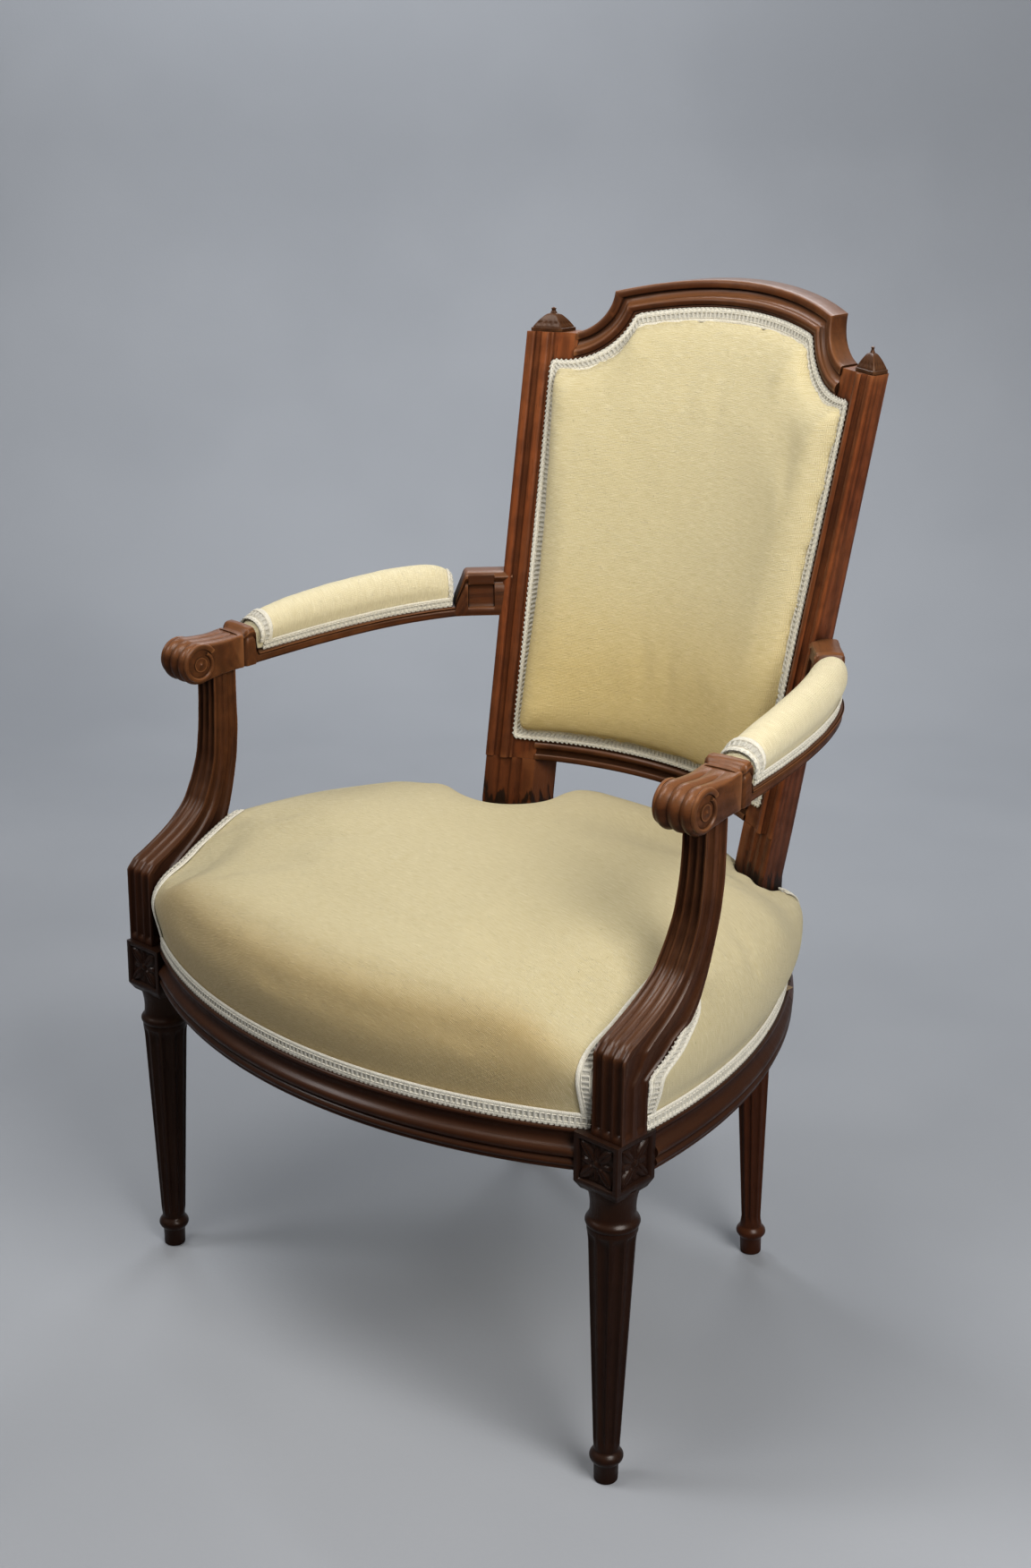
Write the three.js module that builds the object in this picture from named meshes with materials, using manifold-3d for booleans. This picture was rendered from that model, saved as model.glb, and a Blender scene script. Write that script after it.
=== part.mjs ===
// Fauteuil: a carved and moulded walnut armchair with a bowed seat, a curved raked back,
// scrolled arms and fixed upholstery. Millimetres, +Z up, the sitter faces -Y.
// Left and right are those of someone who looks at the front of the chair.

import * as THREE from 'three';
import { mergeVertices } from 'three/addons/utils/BufferGeometryUtils.js';
import Module from 'manifold-3d';

const wasm = await Module();
wasm.setup();

// Fit: the air between pieces that touch, and how far a cutter runs past a face
const fit = 0.3;
const overrun = 3;

// Seat frame: bowed rails whose moulded faces lie on arcs. Each arc bulges out from the
// corners where its rail meets the legs.
const railTop = 317;
const railHeight = 36;
const railThickness = 30;
const rearRailThickness = 28;
const frontBulge = 65;
const rearBulge = 15.5;
const sideStep = 3;

// Front legs: turned below, with a square block where the rails meet
const frontLegSpread = 272;
const frontLegForward = 238.5;
const blockWidth = 44;
const blockDepth = 47;
const blockHeight = 49;
const blockChamfer = 7;

// Turning of every leg, from the floor up
const toeHeight = 16;
const toeRadius = 9.8;
const ringHeight = 14;
const ringRadius = 14.3;
const ankleRadius = 11.4;
const shaftTopRadius = 19.2;
const collarHeight = 13;
const collarRadius = 21;
const neckHeight = 23;
const neckRadius = 18.8;

// Rear legs, which run on up as the stiles of the back
const rearShaftTopRadius = 16.6;
const rearCollarRadius = 18.4;
const rearNeckRadius = 16.4;
const rearBlockOuter = 172;
const rearBlockWidth = 49;
const rearBlockFront = 84;
const rearBlockDepth = 50;
const rearBlockHeight = 49;
const rearLegSetBack = 4;
const rearFootInset = 2.5;
const rearFootRake = 17;

// Back: a raked face bent to an arc in plan, with its heights above the rails
const backSetBack = 60.8;
const backBowRadius = 270;
const backBowOverlap = 4;
const backRakeShare = 0.228;
const lowerRailRise = 123.6;
const rakeStartRise = 81.8;
const backHeight = 400.4;
const memberWidth = 46;
const lowerRailHeight = 44;
const lowerRailMoulding = 36;
const stileStep = 2.3;
const stileFaceSlopeShare = 0.45;
const stileSplayShare = 0.0595;
const stileThickness = 33;
const crestThickness = 25;

// Crest rail: quarter-round notches on the stile tops, beside a shallow arch
const notchInset = 35;
const notchRadius = 38;
const archRise = 19;
const archRadius = 460;

// Finials on the stile tops
const finialWidth = 28;
const finialInset = 1.5;
const finialDepth = 22;
const finialHeight = 17;
const finialTipWidth = 7;
const knobRadius = 2.4;
const knobHeight = 5;
const spigotRadius = 4;
const spigotLength = 12;

// Arms: a curve in plan from the stile to the scroll, measured at the underside
const armStartRise = 257.5;
const armStartOutset = 8.6;
const armStartSetBack = 4.8;
const armEndRise = 237.5;
const armEndOutset = 2;
const armEndSetBack = 1.3;
const armTailShare = 0.3;
const armWidthRear = 25;
const armWidthPad = 32;
const armWidthLip = 37;
const armHeightRear = 42;
const armLean = 6;
const padBedThickness = 10;
const lipHeight = 36.5;
const neckTopHeight = 34;
const scrollRadius = 19.5;
const scrollForward = 17.5;
const scrollWidth = 35;
const scrollRise = 14.5;
const eyeRadius = 6.5;
const eyeProud = 1.5;

// Arm supports: a square stump on the leg block that sweeps back and up to the arm
const stumpWidth = 30.5;
const stumpDepth = 30;
const stumpStep = 5;
const stumpHeight = 70;
const supportTopWidth = 23;
const supportTopDepth = 26;
const supportSweep = 91;

// Joints
const tenonWall = 3;
const rearTenonLength = 20;
const tenonThickness = 10;
const tenonHeight = 24;
const stubTenon = 12;
const stubTenonLength = 16;
const pegRadius = 3;
const thinPegRadius = 2.4;
const pegLength = 40;
const shortPegLength = 26;
const armDowelRadius = 4;
const armDowelLength = 28;
const pegSpacing = 10;

// Upholstery
const coverThickness = 2;
const borderInset = 8;
const gimpWidth = 12.5;
const gimpThickness = 2.2;
const webbingWidth = 58;
const webbingThickness = 1.5;
const hessianThickness = 1;
const webbingInset = 15;
const webbingSpacing = 87;
const seatCrown = 137;
const stileDip = 42;
const stileDipReach = 108;
const seatCentreForward = 70;
const notchClearance = 0.8;
const backCrown = 34;
const rearPanelCrown = 10;
const armPadCrown = 41;
const armPadInset = 3.5;
const armPadGimpWidth = 5.8;

// Fineness of the faceted solids
const turnSides = 14;
const arcSteps = 12;
const pegSides = 10;
const weldDistance = 1e-4;

const { lerp, smoothstep } = THREE.MathUtils;

// Derived: the seat frame. An arc's radius follows from its bulge over its run.
const bowRadius = (bulge, run) => (bulge ** 2 + run ** 2) / (2 * bulge);
const railBottom = railTop - railHeight;
const blockBottom = railTop - blockHeight;
const blockFaceForward = frontLegForward + blockDepth / 2;
const blockFaceSpread = frontLegSpread + blockWidth / 2;
const rearBlockBottom = railTop - rearBlockHeight;
const rearBlockBack = rearBlockFront + rearBlockDepth;
const rearBlockInner = rearBlockOuter - rearBlockWidth;
const frontReach = blockFaceForward + frontBulge;
const frontBow = bowRadius(frontBulge, frontLegSpread - blockWidth / 2);
const rearReach = rearBlockBack + rearBulge;
const rearBow = bowRadius(rearBulge, rearBlockInner);
const sideReach = blockFaceSpread + sideStep;
const sideWidestForward = frontLegForward - blockDepth / 2;
const sideBow = bowRadius(
  sideReach - rearBlockOuter - sideStep, rearBlockBack + sideWidestForward,
);
const rearLegTopSpread = rearBlockOuter - rearBlockWidth / 2;
const rearLegTopBack = rearBlockFront + rearBlockDepth / 2 + rearLegSetBack;
const rearFootSpread = rearLegTopSpread - rearFootInset;
const rearFootBack = rearLegTopBack + rearFootRake;

// Derived: the back
const backFaceBack = rearBlockFront + backSetBack;
const backBowHalfWidth = rearBlockInner + backBowOverlap;
const stileOuterAtSeat = rearBlockOuter - stileStep;
const lowerRailBottom = railTop + lowerRailRise;
const rakeStart = railTop + rakeStartRise;
const stileTop = lowerRailBottom + backHeight;
const backCentreShare = 0.523;
const backCentreHeight = lerp(lowerRailBottom, stileTop, backCentreShare);
const notchHeight = stileTop + notchRadius;
const notchSpread = stileOuterX(stileTop) - notchInset;
const archTop = notchHeight + archRise;

// Derived: the supports, and the arms that run from the stiles to them
const stumpOuter = blockFaceSpread;
const stumpInner = stumpOuter - stumpWidth;
const stumpFrontForward = blockFaceForward - stumpStep;
const stumpRearForward = stumpFrontForward - stumpDepth;
const supportTopOuter = stumpOuter;
const supportTopInner = supportTopOuter - supportTopWidth;
const supportTopFrontForward = stumpFrontForward - supportSweep;
const supportTopRearForward = supportTopFrontForward - supportTopDepth;
const armStart = placeOnStile(railTop + armStartRise);
const armEnd = new THREE.Vector3(
  supportTopOuter - supportTopWidth / 2 + armEndOutset,
  armEndSetBack - supportTopFrontForward,
  railTop + armEndRise,
);
const armBendShares = [[0.322, 0.135, -0.02], [0.838, 0.181, 0.155]];
const [armBendRear, armBendFront] = armBendShares.map(([x, y, z]) => new THREE.Vector3(
  lerp(armStart.x, armEnd.x, x), lerp(armStart.y, armEnd.y, y), lerp(armStart.z, armEnd.z, z),
));
const scrollCentreHeight = armEnd.z + scrollRise;
const armTail = memberWidth * armTailShare;

// Derived: joints and upholstery. A wall of wood stays between two tenons in one block.
const frontTenonLength = blockWidth - (stumpWidth + stubTenon) / 2 - tenonWall;
const sideTenonLength = blockDepth / 2 - tenonWall;
const seatBase = railTop + fit;
const coverStandOffShare = 2.6;
const coverBase = fit * coverStandOffShare;

// Where an arm leaves its stile, at some height
function placeOnStile(z) {
  const x = stileOuterX(z);
  return new THREE.Vector3(x + armStartOutset, backFaceY(x, z) + armStartSetBack, z);
}

// Mouldings. Rail: how far each edge stands out from the arc, as a share of the rail's
// thickness, and how high it lies, as a share of the rail's height.
const railMouldingShares = [
  [-0.13, 1], [-0.12, 0.925], [-0.25, 0.72], [-0.12, 0.55], [0, 0.47], [0, 0.37], [-0.09, 0.27],
  [-0.03, 0.2], [-0.03, 0.1], [-0.1, 0],
];
// Back frame: place across the member from its outer edge, and relief, as shares of its width
const backMouldingShares = [
  [0, 0], [0.04, 0.05], [0.13, 0.05], [0.18, -0.02], [0.3, 0.02], [0.36, 0.09], [0.46, 0.11],
  [0.52, 0.08], [0.54, 0], [1, 0],
];

const mouldedShare = 0.54;
const visibleStrip = memberWidth * mouldedShare + 2 * fit;
const padOutlineBottom = lowerRailBottom + lowerRailMoulding * mouldedShare + 2 * fit;

// A closed skin through a row of rings, with fans over its two ends unless it is a loop
function loft(rings, { loop = false, firstPole = null, lastPole = null } = {}) {
  const sides = rings[0].length;
  const points = rings.flat();
  const faces = [];
  const rows = loop ? rings.length : rings.length - 1;
  for (let row = 0; row < rows; row += 1) {
    const next = (row + 1) % rings.length;
    for (let side = 0; side < sides; side += 1) {
      const turn = (side + 1) % sides;
      const a = row * sides + side;
      const b = row * sides + turn;
      const c = next * sides + side;
      const d = next * sides + turn;
      faces.push([a, b, d], [a, d, c]);
    }
  }
  if (!loop) {
    const first = points.push(firstPole ?? middleOf(rings[0])) - 1;
    const last = points.push(lastPole ?? middleOf(rings.at(-1))) - 1;
    const start = (rings.length - 1) * sides;
    for (let side = 0; side < sides; side += 1) {
      const turn = (side + 1) % sides;
      faces.push([turn, side, first], [start + side, start + turn, last]);
    }
  }
  return solidFrom(meshOf(points, faces));
}

function middleOf(ring) {
  const middle = new THREE.Vector3();
  ring.forEach((point) => middle.add(point));
  return middle.divideScalar(ring.length);
}

// Turns the faces round when they would point inwards
function meshOf(points, faces) {
  let volume = 0;
  for (const [a, b, c] of faces) {
    volume += points[a].dot(new THREE.Vector3().crossVectors(points[b], points[c]));
  }
  const order = volume < 0 ? faces.map(([a, b, c]) => [a, c, b]) : faces;
  const geometry = new THREE.BufferGeometry().setFromPoints(points);
  geometry.setIndex(order.flat());
  return geometry;
}

// Geometry to solid and back
function solidFrom(geometry) {
  const bare = geometry.clone();
  bare.deleteAttribute('normal');
  bare.deleteAttribute('uv');
  const merged = mergeVertices(bare, weldDistance);
  const corners = merged.index.array;
  const kept = [];
  for (let i = 0; i < corners.length; i += 3) {
    const [a, b, c] = [corners[i], corners[i + 1], corners[i + 2]];
    if (a !== b && b !== c && c !== a) kept.push(a, b, c);
  }
  return new wasm.Manifold(new wasm.Mesh({
    numProp: 3,
    vertProperties: merged.attributes.position.array,
    triVerts: new Uint32Array(kept),
  }));
}

function geometryFrom(solid) {
  const mesh = solid.getMesh();
  const geometry = new THREE.BufferGeometry();
  geometry.setAttribute('position', new THREE.BufferAttribute(mesh.vertProperties, 3));
  geometry.setIndex(new THREE.BufferAttribute(mesh.triVerts, 1));
  return geometry;
}

// A plain block between two corners, grown by a margin
function block(low, high, margin = 0) {
  const size = high.clone().sub(low).addScalar(2 * margin);
  const middle = low.clone().add(high).multiplyScalar(0.5);
  const geometry = new THREE.BoxGeometry(size.x, size.y, size.z);
  geometry.translate(middle.x, middle.y, middle.z);
  return solidFrom(geometry);
}

// A round peg along a direction
function peg(radius, length, middle, direction, margin = 0) {
  const geometry = new THREE.CylinderGeometry(
    radius + margin, radius + margin, length + 2 * margin, pegSides,
  );
  const up = new THREE.Vector3(0, 1, 0);
  const turn = new THREE.Quaternion().setFromUnitVectors(up, direction.clone().normalize());
  geometry.applyQuaternion(turn);
  geometry.translate(middle.x, middle.y, middle.z);
  return solidFrom(geometry);
}

// A ring of evenly spaced values from one to another
function steps(from, to, count) {
  return Array.from({ length: count + 1 }, (_, i) => lerp(from, to, i / count));
}

const vec = (x, y, z) => new THREE.Vector3(x, y, z);

// Plan arcs of the seat. Each returns the face of its rail, moved out by a distance.
function frontArcY(x, out = 0) {
  return frontBow - frontReach - Math.sqrt((frontBow + out) ** 2 - x * x);
}

function sideArcX(y, out = 0) {
  return sideReach - sideBow + Math.sqrt((sideBow + out) ** 2 - (y + sideWidestForward) ** 2);
}

function rearArcY(x, out = 0) {
  return rearReach - rearBow + Math.sqrt((rearBow + out) ** 2 - x * x);
}

// The moulded section of a rail as [out, height] pairs, closed over its plain inner face
function railSection() {
  const outer = railMouldingShares.map(([out, rise]) => [
    out * railThickness, railBottom + rise * railHeight,
  ]);
  return [...outer, [-railThickness, railBottom], [-railThickness, railTop]];
}

function frontRail() {
  const end = frontLegSpread - blockWidth / 2 - fit;
  const rings = steps(-1, 1, arcSteps + 2).map((share) => railSection().map(([out, z]) => {
    const angle = share * Math.asin(end / (frontBow + out));
    const reach = frontBow + out;
    return vec(reach * Math.sin(angle), frontBow - frontReach - reach * Math.cos(angle), z);
  }));
  const tenon = frontTenon();
  const mirrored = frontTenon(0, -1);
  return loft(rings).add(tenon).add(mirrored).subtract(frontTenonPeg(fit))
    .subtract(frontTenonPeg(fit, -1));
}

// The side rail's moulding, which the rear leg's block carries on at its end
function sideMoulding(fromY, toY, count) {
  const rings = steps(0, 1, count).map((share) => railSection().map(([out, z]) => {
    const start = Math.asin((fromY + sideWidestForward) / (sideBow + out));
    const end = Math.asin((toY + sideWidestForward) / (sideBow + out));
    const angle = lerp(start, end, share);
    const reach = sideBow + out;
    const x = sideReach - sideBow + reach * Math.cos(angle);
    return vec(x, reach * Math.sin(angle) - sideWidestForward, z);
  }));
  return loft(rings);
}

function sideRail() {
  const from = fit - sideWidestForward;
  const to = rearBlockFront - fit;
  return sideMoulding(from, to, arcSteps)
    .add(sideFrontTenon())
    .add(sideRearTenon())
    .subtract(sideTenonPeg(fit));
}

function rearRail() {
  const end = rearBlockInner - fit;
  const section = [
    [0, railTop], [0, railBottom], [-rearRailThickness, railBottom], [-rearRailThickness, railTop],
  ];
  const rings = steps(-1, 1, arcSteps).map((share) => section.map(([out, z]) => {
    const reach = rearBow + out;
    const angle = share * Math.asin(end / reach);
    return vec(reach * Math.sin(angle), rearReach - rearBow + reach * Math.cos(angle), z);
  }));
  return loft(rings)
    .add(rearTenon())
    .add(rearTenon(0, -1))
    .subtract(rearTenonPeg(fit))
    .subtract(rearTenonPeg(fit, -1));
}

// Tenons of the seat rails. Each starts just inside its own rail.
const tenonTop = railTop - (railHeight - tenonHeight) / 2;
const tenonBottom = tenonTop - tenonHeight;

function frontTenon(margin = 0, side = 1) {
  const face = frontLegSpread - blockWidth / 2;
  const outerY = frontArcY(face) + (railThickness - tenonThickness) / 2;
  const nearX = side * (face - overrun);
  const farX = side * (face + frontTenonLength);
  const low = vec(Math.min(nearX, farX), outerY, tenonBottom);
  const high = vec(Math.max(nearX, farX), outerY + tenonThickness, tenonTop);
  return block(low, high, margin);
}

const sideTenonDepthShare = 0.6;

function sideFrontTenon(margin = 0) {
  const face = -sideWidestForward;
  const innerX = sideArcX(face) - railThickness * sideTenonDepthShare - tenonThickness / 2;
  const low = vec(innerX, face - sideTenonLength, tenonBottom);
  const high = vec(innerX + tenonThickness, face + overrun, tenonTop);
  return block(low, high, margin);
}

function sideRearTenon(margin = 0) {
  const end = rearBlockFront + rearTenonLength;
  const innerX = sideArcX(end) - (railThickness + tenonThickness) / 2;
  const low = vec(innerX, rearBlockFront - overrun, tenonBottom);
  const high = vec(innerX + tenonThickness, end, tenonTop);
  return block(low, high, margin);
}

function rearTenon(margin = 0, side = 1) {
  const middleY = rearArcY(rearBlockInner) - rearRailThickness / 2;
  const nearX = side * (rearBlockInner - overrun);
  const farX = side * (rearBlockInner + rearTenonLength);
  const low = vec(Math.min(nearX, farX), middleY - tenonThickness / 2, tenonBottom);
  const high = vec(Math.max(nearX, farX), middleY + tenonThickness / 2, tenonTop);
  return block(low, high, margin);
}

// Pegs through the tenons
function frontTenonPeg(margin = 0, side = 1) {
  const x = side * (frontLegSpread + (frontTenonLength - blockWidth) / 2);
  const y = -sideWidestForward - pegLength / 2;
  const z = (tenonTop + tenonBottom) / 2 + pegSpacing / 2;
  return peg(pegRadius, pegLength, vec(x, y, z), vec(0, 1, 0), margin);
}

function sideTenonPeg(margin = 0) {
  const innerX = frontLegSpread - blockWidth / 2;
  const y = -sideWidestForward - sideTenonLength / 2;
  const z = (tenonTop + tenonBottom) / 2 - pegSpacing / 2;
  return peg(pegRadius, pegLength, vec(innerX + pegLength / 2, y, z), vec(1, 0, 0), margin);
}

function rearTenonPeg(margin = 0, side = 1) {
  const x = side * (rearBlockInner + rearTenonLength / 2);
  const y = rearBlockBack - shortPegLength / 2;
  const z = (tenonTop + tenonBottom) / 2;
  return peg(pegRadius, shortPegLength, vec(x, y, z), vec(0, 1, 0), margin);
}

// A turned leg on its own axis, from the floor to the underside of its block. Its ring and
// its collar swell as [radius, height] shares of their own sizes.
const toeFlareShare = 1.06;
const neckFlareShare = 1.08;
const ringShares = [[0.88, 0.2], [1, 0.5], [0.88, 0.8]];
const collarShares = [[0.93, 0], [1, 0.35], [1, 0.65]];

function turning(height, shaftRadius, collar, neck) {
  const collarBottom = height - neckHeight - collarHeight;
  const outline = [
    [0, 0], [toeRadius, 0], [toeRadius * toeFlareShare, toeHeight],
    ...ringShares.map(([out, rise]) => [ringRadius * out, toeHeight + ringHeight * rise]),
    [ankleRadius, toeHeight + ringHeight], [shaftRadius, collarBottom],
    ...collarShares.map(([out, rise]) => [collar * out, collarBottom + collarHeight * rise]),
    [neck, height - neckHeight], [neck, height - neckHeight / 2],
    [neck * neckFlareShare, height + overrun], [0, height + overrun],
  ].map(([radius, z]) => new THREE.Vector2(radius, z));
  const geometry = new THREE.LatheGeometry(outline, turnSides);
  geometry.rotateX(Math.PI / 2);
  return geometry;
}

function squareRing(halfX, halfY, centre, z) {
  return [[-1, -1], [1, -1], [1, 1], [-1, 1]].map(([sx, sy]) => vec(
    centre.x + sx * halfX, centre.y + sy * halfY, z,
  ));
}

function frontLeg() {
  const centre = new THREE.Vector2(frontLegSpread, -frontLegForward);
  const turned = turning(blockBottom, shaftTopRadius, collarRadius, neckRadius);
  turned.translate(centre.x, centre.y, 0);
  const cap = loft([
    squareRing(neckRadius, neckRadius, centre, blockBottom),
    squareRing(blockWidth / 2, blockDepth / 2, centre, blockBottom + blockChamfer),
    squareRing(blockWidth / 2, blockDepth / 2, centre, railTop),
  ]);
  return solidFrom(turned)
    .add(cap)
    .subtract(frontTenon(fit))
    .subtract(sideFrontTenon(fit))
    .subtract(frontTenonPeg(fit))
    .subtract(sideTenonPeg(fit))
    .subtract(supportFootTenon(fit));
}

// The face of the back, where it bends past the rails into the flat face of a stile
function backFaceY(x, z) {
  const across = Math.abs(x);
  const bowed = Math.min(across, backBowHalfWidth);
  const sag = backBowRadius - Math.sqrt(backBowRadius ** 2 - bowed ** 2);
  const flat = Math.max(across - backBowHalfWidth, 0) * stileFaceSlopeShare;
  return backFaceBack + (Math.max(z, rakeStart) - lowerRailBottom) * backRakeShare - sag - flat;
}

function stileOuterX(z) {
  return stileOuterAtSeat + (Math.max(z, rakeStart) - rakeStart) * stileSplayShare;
}

function backThickness(z) {
  const share = (z - lowerRailBottom) / (stileTop - lowerRailBottom);
  return lerp(stileThickness, crestThickness, Math.min(Math.max(share, 0), 1));
}

// One section of the back frame. Its line gives [x, z] at a share of the way across the
// member, from the outer edge to the inner one; the section goes over its face and its rear.
function backSection(line, reliefShare = 1) {
  const face = backMouldingShares.map(([across, relief]) => {
    const [x, z] = line(across);
    return vec(x, backFaceY(x, z) - relief * reliefShare * memberWidth, z);
  });
  const rear = [1, 0].map((across) => {
    const [x, z] = line(across);
    return vec(x, backFaceY(x, z) + backThickness(z), z);
  });
  return [...face, ...rear];
}

function stileSection(z, reliefShare = 1) {
  return backSection((across) => [stileOuterX(z) - across * memberWidth, z], reliefShare);
}

function stileSolid() {
  const plain = [railTop - overrun, rakeStart, lowerRailBottom];
  const moulded = steps(lowerRailBottom + fit, stileTop, 3);
  return loft([
    ...plain.map((z) => stileSection(z, 0)),
    ...moulded.map((z) => stileSection(z)),
  ]);
}

// The space that a stile takes up between some heights, with air round it. Its rear may be
// moved back, to leave an open slot.
function stileCutter(heights, air, reliefShare = 1, rearward = 0) {
  const shifted = (aside) => loft(heights.map((z) => {
    const section = stileSection(z, reliefShare);
    const rearFrom = section.length - 2;
    return section.map((p, i) => vec(
      p.x + aside, i < rearFrom ? p.y - air : p.y + air + rearward, z,
    ));
  }));
  return shifted(-air).add(shifted(air));
}

function rearUpright() {
  const turned = turning(rearBlockBottom, rearShaftTopRadius, rearCollarRadius, rearNeckRadius);
  const leanX = (rearLegTopSpread - rearFootSpread) / rearBlockBottom;
  const leanY = (rearLegTopBack - rearFootBack) / rearBlockBottom;
  turned.applyMatrix4(new THREE.Matrix4().set(
    1, 0, leanX, rearFootSpread, 0, 1, leanY, rearFootBack, 0, 0, 1, 0, 0, 0, 0, 1,
  ));
  const low = vec(rearBlockInner, rearBlockFront, rearBlockBottom);
  const high = vec(rearBlockOuter, rearBlockBack, railTop);
  return solidFrom(turned)
    .add(block(low, high))
    .add(rearBlockInfill())
    .add(sideMoulding(rearBlockFront, rearBlockBack, 3))
    .add(stileSolid())
    .subtract(sideRearTenon(fit))
    .subtract(rearTenon(fit))
    .subtract(rearTenonPeg(fit))
    .subtract(crestTenon(fit))
    .subtract(crestPeg(fit))
    .subtract(lowerTenon(fit))
    .subtract(lowerPeg(fit))
    .subtract(armDowel(fit))
    .subtract(finialSpigot(fit));
}

// The wood between the square block and the moulding that runs past it
function rearBlockInfill() {
  const innerX = rearBlockOuter - overrun;
  const cornerX = (y) => sideArcX(y) - railThickness / 2;
  const rings = [railBottom, railTop].map((z) => [
    vec(innerX, rearBlockFront, z), vec(cornerX(rearBlockFront), rearBlockFront, z),
    vec(Math.max(cornerX(rearBlockBack), rearBlockOuter), rearBlockBack, z),
    vec(innerX, rearBlockBack, z),
  ]);
  return loft(rings);
}

// Crest rail. Its outer line is a notch and an arch, and its inner line runs beside them.
const archCentre = archTop - archRadius;

function notchPoint(radius, angle) {
  return new THREE.Vector2(
    notchSpread - radius * Math.sin(angle), notchHeight - radius * Math.cos(angle),
  );
}

function archPoint(radius, x) {
  return new THREE.Vector2(x, archCentre + Math.sqrt(radius ** 2 - x * x));
}

// The angle at which a notch of some radius runs out under the arch that goes with it
function notchEndAngle(notch, arch) {
  const centre = Math.hypot(notchSpread, notchHeight - archCentre);
  const bend = Math.acos((centre ** 2 + notch ** 2 - arch ** 2) / (2 * centre * notch));
  const towards = Math.atan2(notchSpread, notchHeight - archCentre);
  return towards + bend;
}

function notchStartAngle(radius, inset) {
  let angle = 0;
  for (let pass = 0; pass < 8; pass += 1) {
    const { y: z } = notchPoint(radius, angle);
    angle = Math.asin((notchSpread - (stileOuterX(z) - memberWidth - inset)) / radius);
  }
  return angle;
}

// Points of one line of the crest from the stile to the middle, a set distance inside its edge
function crestLine(inside) {
  const radius = notchRadius + inside;
  const arch = archRadius - inside;
  const endAngle = notchEndAngle(radius, arch);
  const corner = notchPoint(radius, endAngle);
  const notch = steps(notchStartAngle(radius, fit), endAngle, 5).map((a) => notchPoint(radius, a));
  const over = steps(corner.x, 0, 6).slice(1).map((x) => archPoint(arch, x));
  return [...notch, ...over];
}

function crestRail() {
  const lines = new Map([...backMouldingShares, [1]].map(([across]) => [
    across, crestLine(across * memberWidth),
  ]));
  const right = lines.get(0).map((_, i) => backSection((across) => lines.get(across)[i].toArray()));
  const left = right.slice(0, -1).reverse().map((ring) => ring.map((p) => vec(-p.x, p.y, p.z)));
  return loft([...right, ...left])
    .add(crestTenon())
    .add(crestTenon(0, -1))
    .subtract(crestPeg(fit))
    .subtract(crestPeg(fit, -1));
}

function lowerBackRail() {
  const endX = (z) => stileOuterX(z) - memberWidth - fit;
  const rings = steps(-1, 1, arcSteps).map((share) => backSection((across) => {
    const z = lowerRailBottom + (across < 1 ? across * lowerRailMoulding : lowerRailHeight);
    return [share * endX(z), z];
  }, lowerRailMoulding / memberWidth));
  return loft(rings)
    .add(lowerTenon())
    .add(lowerTenon(0, -1))
    .subtract(lowerPeg(fit))
    .subtract(lowerPeg(fit, -1));
}

// Tenons of the back rails into the inner faces of the stiles
function backTenon(bottom, height, margin, side) {
  const middleZ = bottom + height / 2;
  const innerX = stileOuterX(middleZ) - memberWidth;
  const middleY = backFaceY(innerX, middleZ) + backThickness(middleZ) / 2;
  const reach = memberWidth / 3;
  const nearX = side * (innerX - 2 * overrun);
  const farX = side * (innerX + reach);
  const low = vec(Math.min(nearX, farX), middleY - stubTenon / 3, bottom);
  const high = vec(Math.max(nearX, farX), middleY + stubTenon / 3, bottom + height);
  return block(low, high, margin);
}

function backPeg(bottom, height, margin, side) {
  const z = bottom + height / 2;
  const x = stileOuterX(z) - memberWidth + memberWidth / 6;
  const y = backFaceY(x, z) + backThickness(z) - pegLength / 4 - pegRadius / 2;
  return peg(pegRadius, pegLength / 2, vec(side * x, y, z), vec(0, 1, 0), margin);
}

const crestTenonBottom = stileTop - memberWidth + tenonHeight / 2;
const lowerTenonBottom = lowerRailBottom + (lowerRailHeight - tenonHeight) / 2;
const crestTenon = (margin = 0, side = 1) => backTenon(crestTenonBottom, tenonHeight, margin, side);
const lowerTenon = (margin = 0, side = 1) => backTenon(lowerTenonBottom, tenonHeight, margin, side);
const crestPeg = (margin = 0, side = 1) => backPeg(crestTenonBottom, tenonHeight, margin, side);
const lowerPeg = (margin = 0, side = 1) => backPeg(lowerTenonBottom, tenonHeight, margin, side);

// Finial: a small pyramid with a knob, on a round spigot in the stile's top
function finialPlace() {
  const x = stileOuterX(stileTop) - finialInset - finialWidth / 2;
  return new THREE.Vector2(x, backFaceY(x, stileTop) + backThickness(stileTop) / 2);
}

function finialSpigot(margin = 0) {
  const { x, y } = finialPlace();
  const middle = vec(x, y, stileTop + fit + overrun - (spigotLength + overrun) / 2);
  return peg(spigotRadius, spigotLength + overrun, middle, vec(0, 0, 1), margin);
}

// Steps of the finial: half-width, half-depth and height as shares of its own sizes
const finialShares = [[1, 1, 0], [1, 1, 0.18], [0.84, 0.84, 0.4], [0.56, 0.6, 0.8]];

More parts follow.
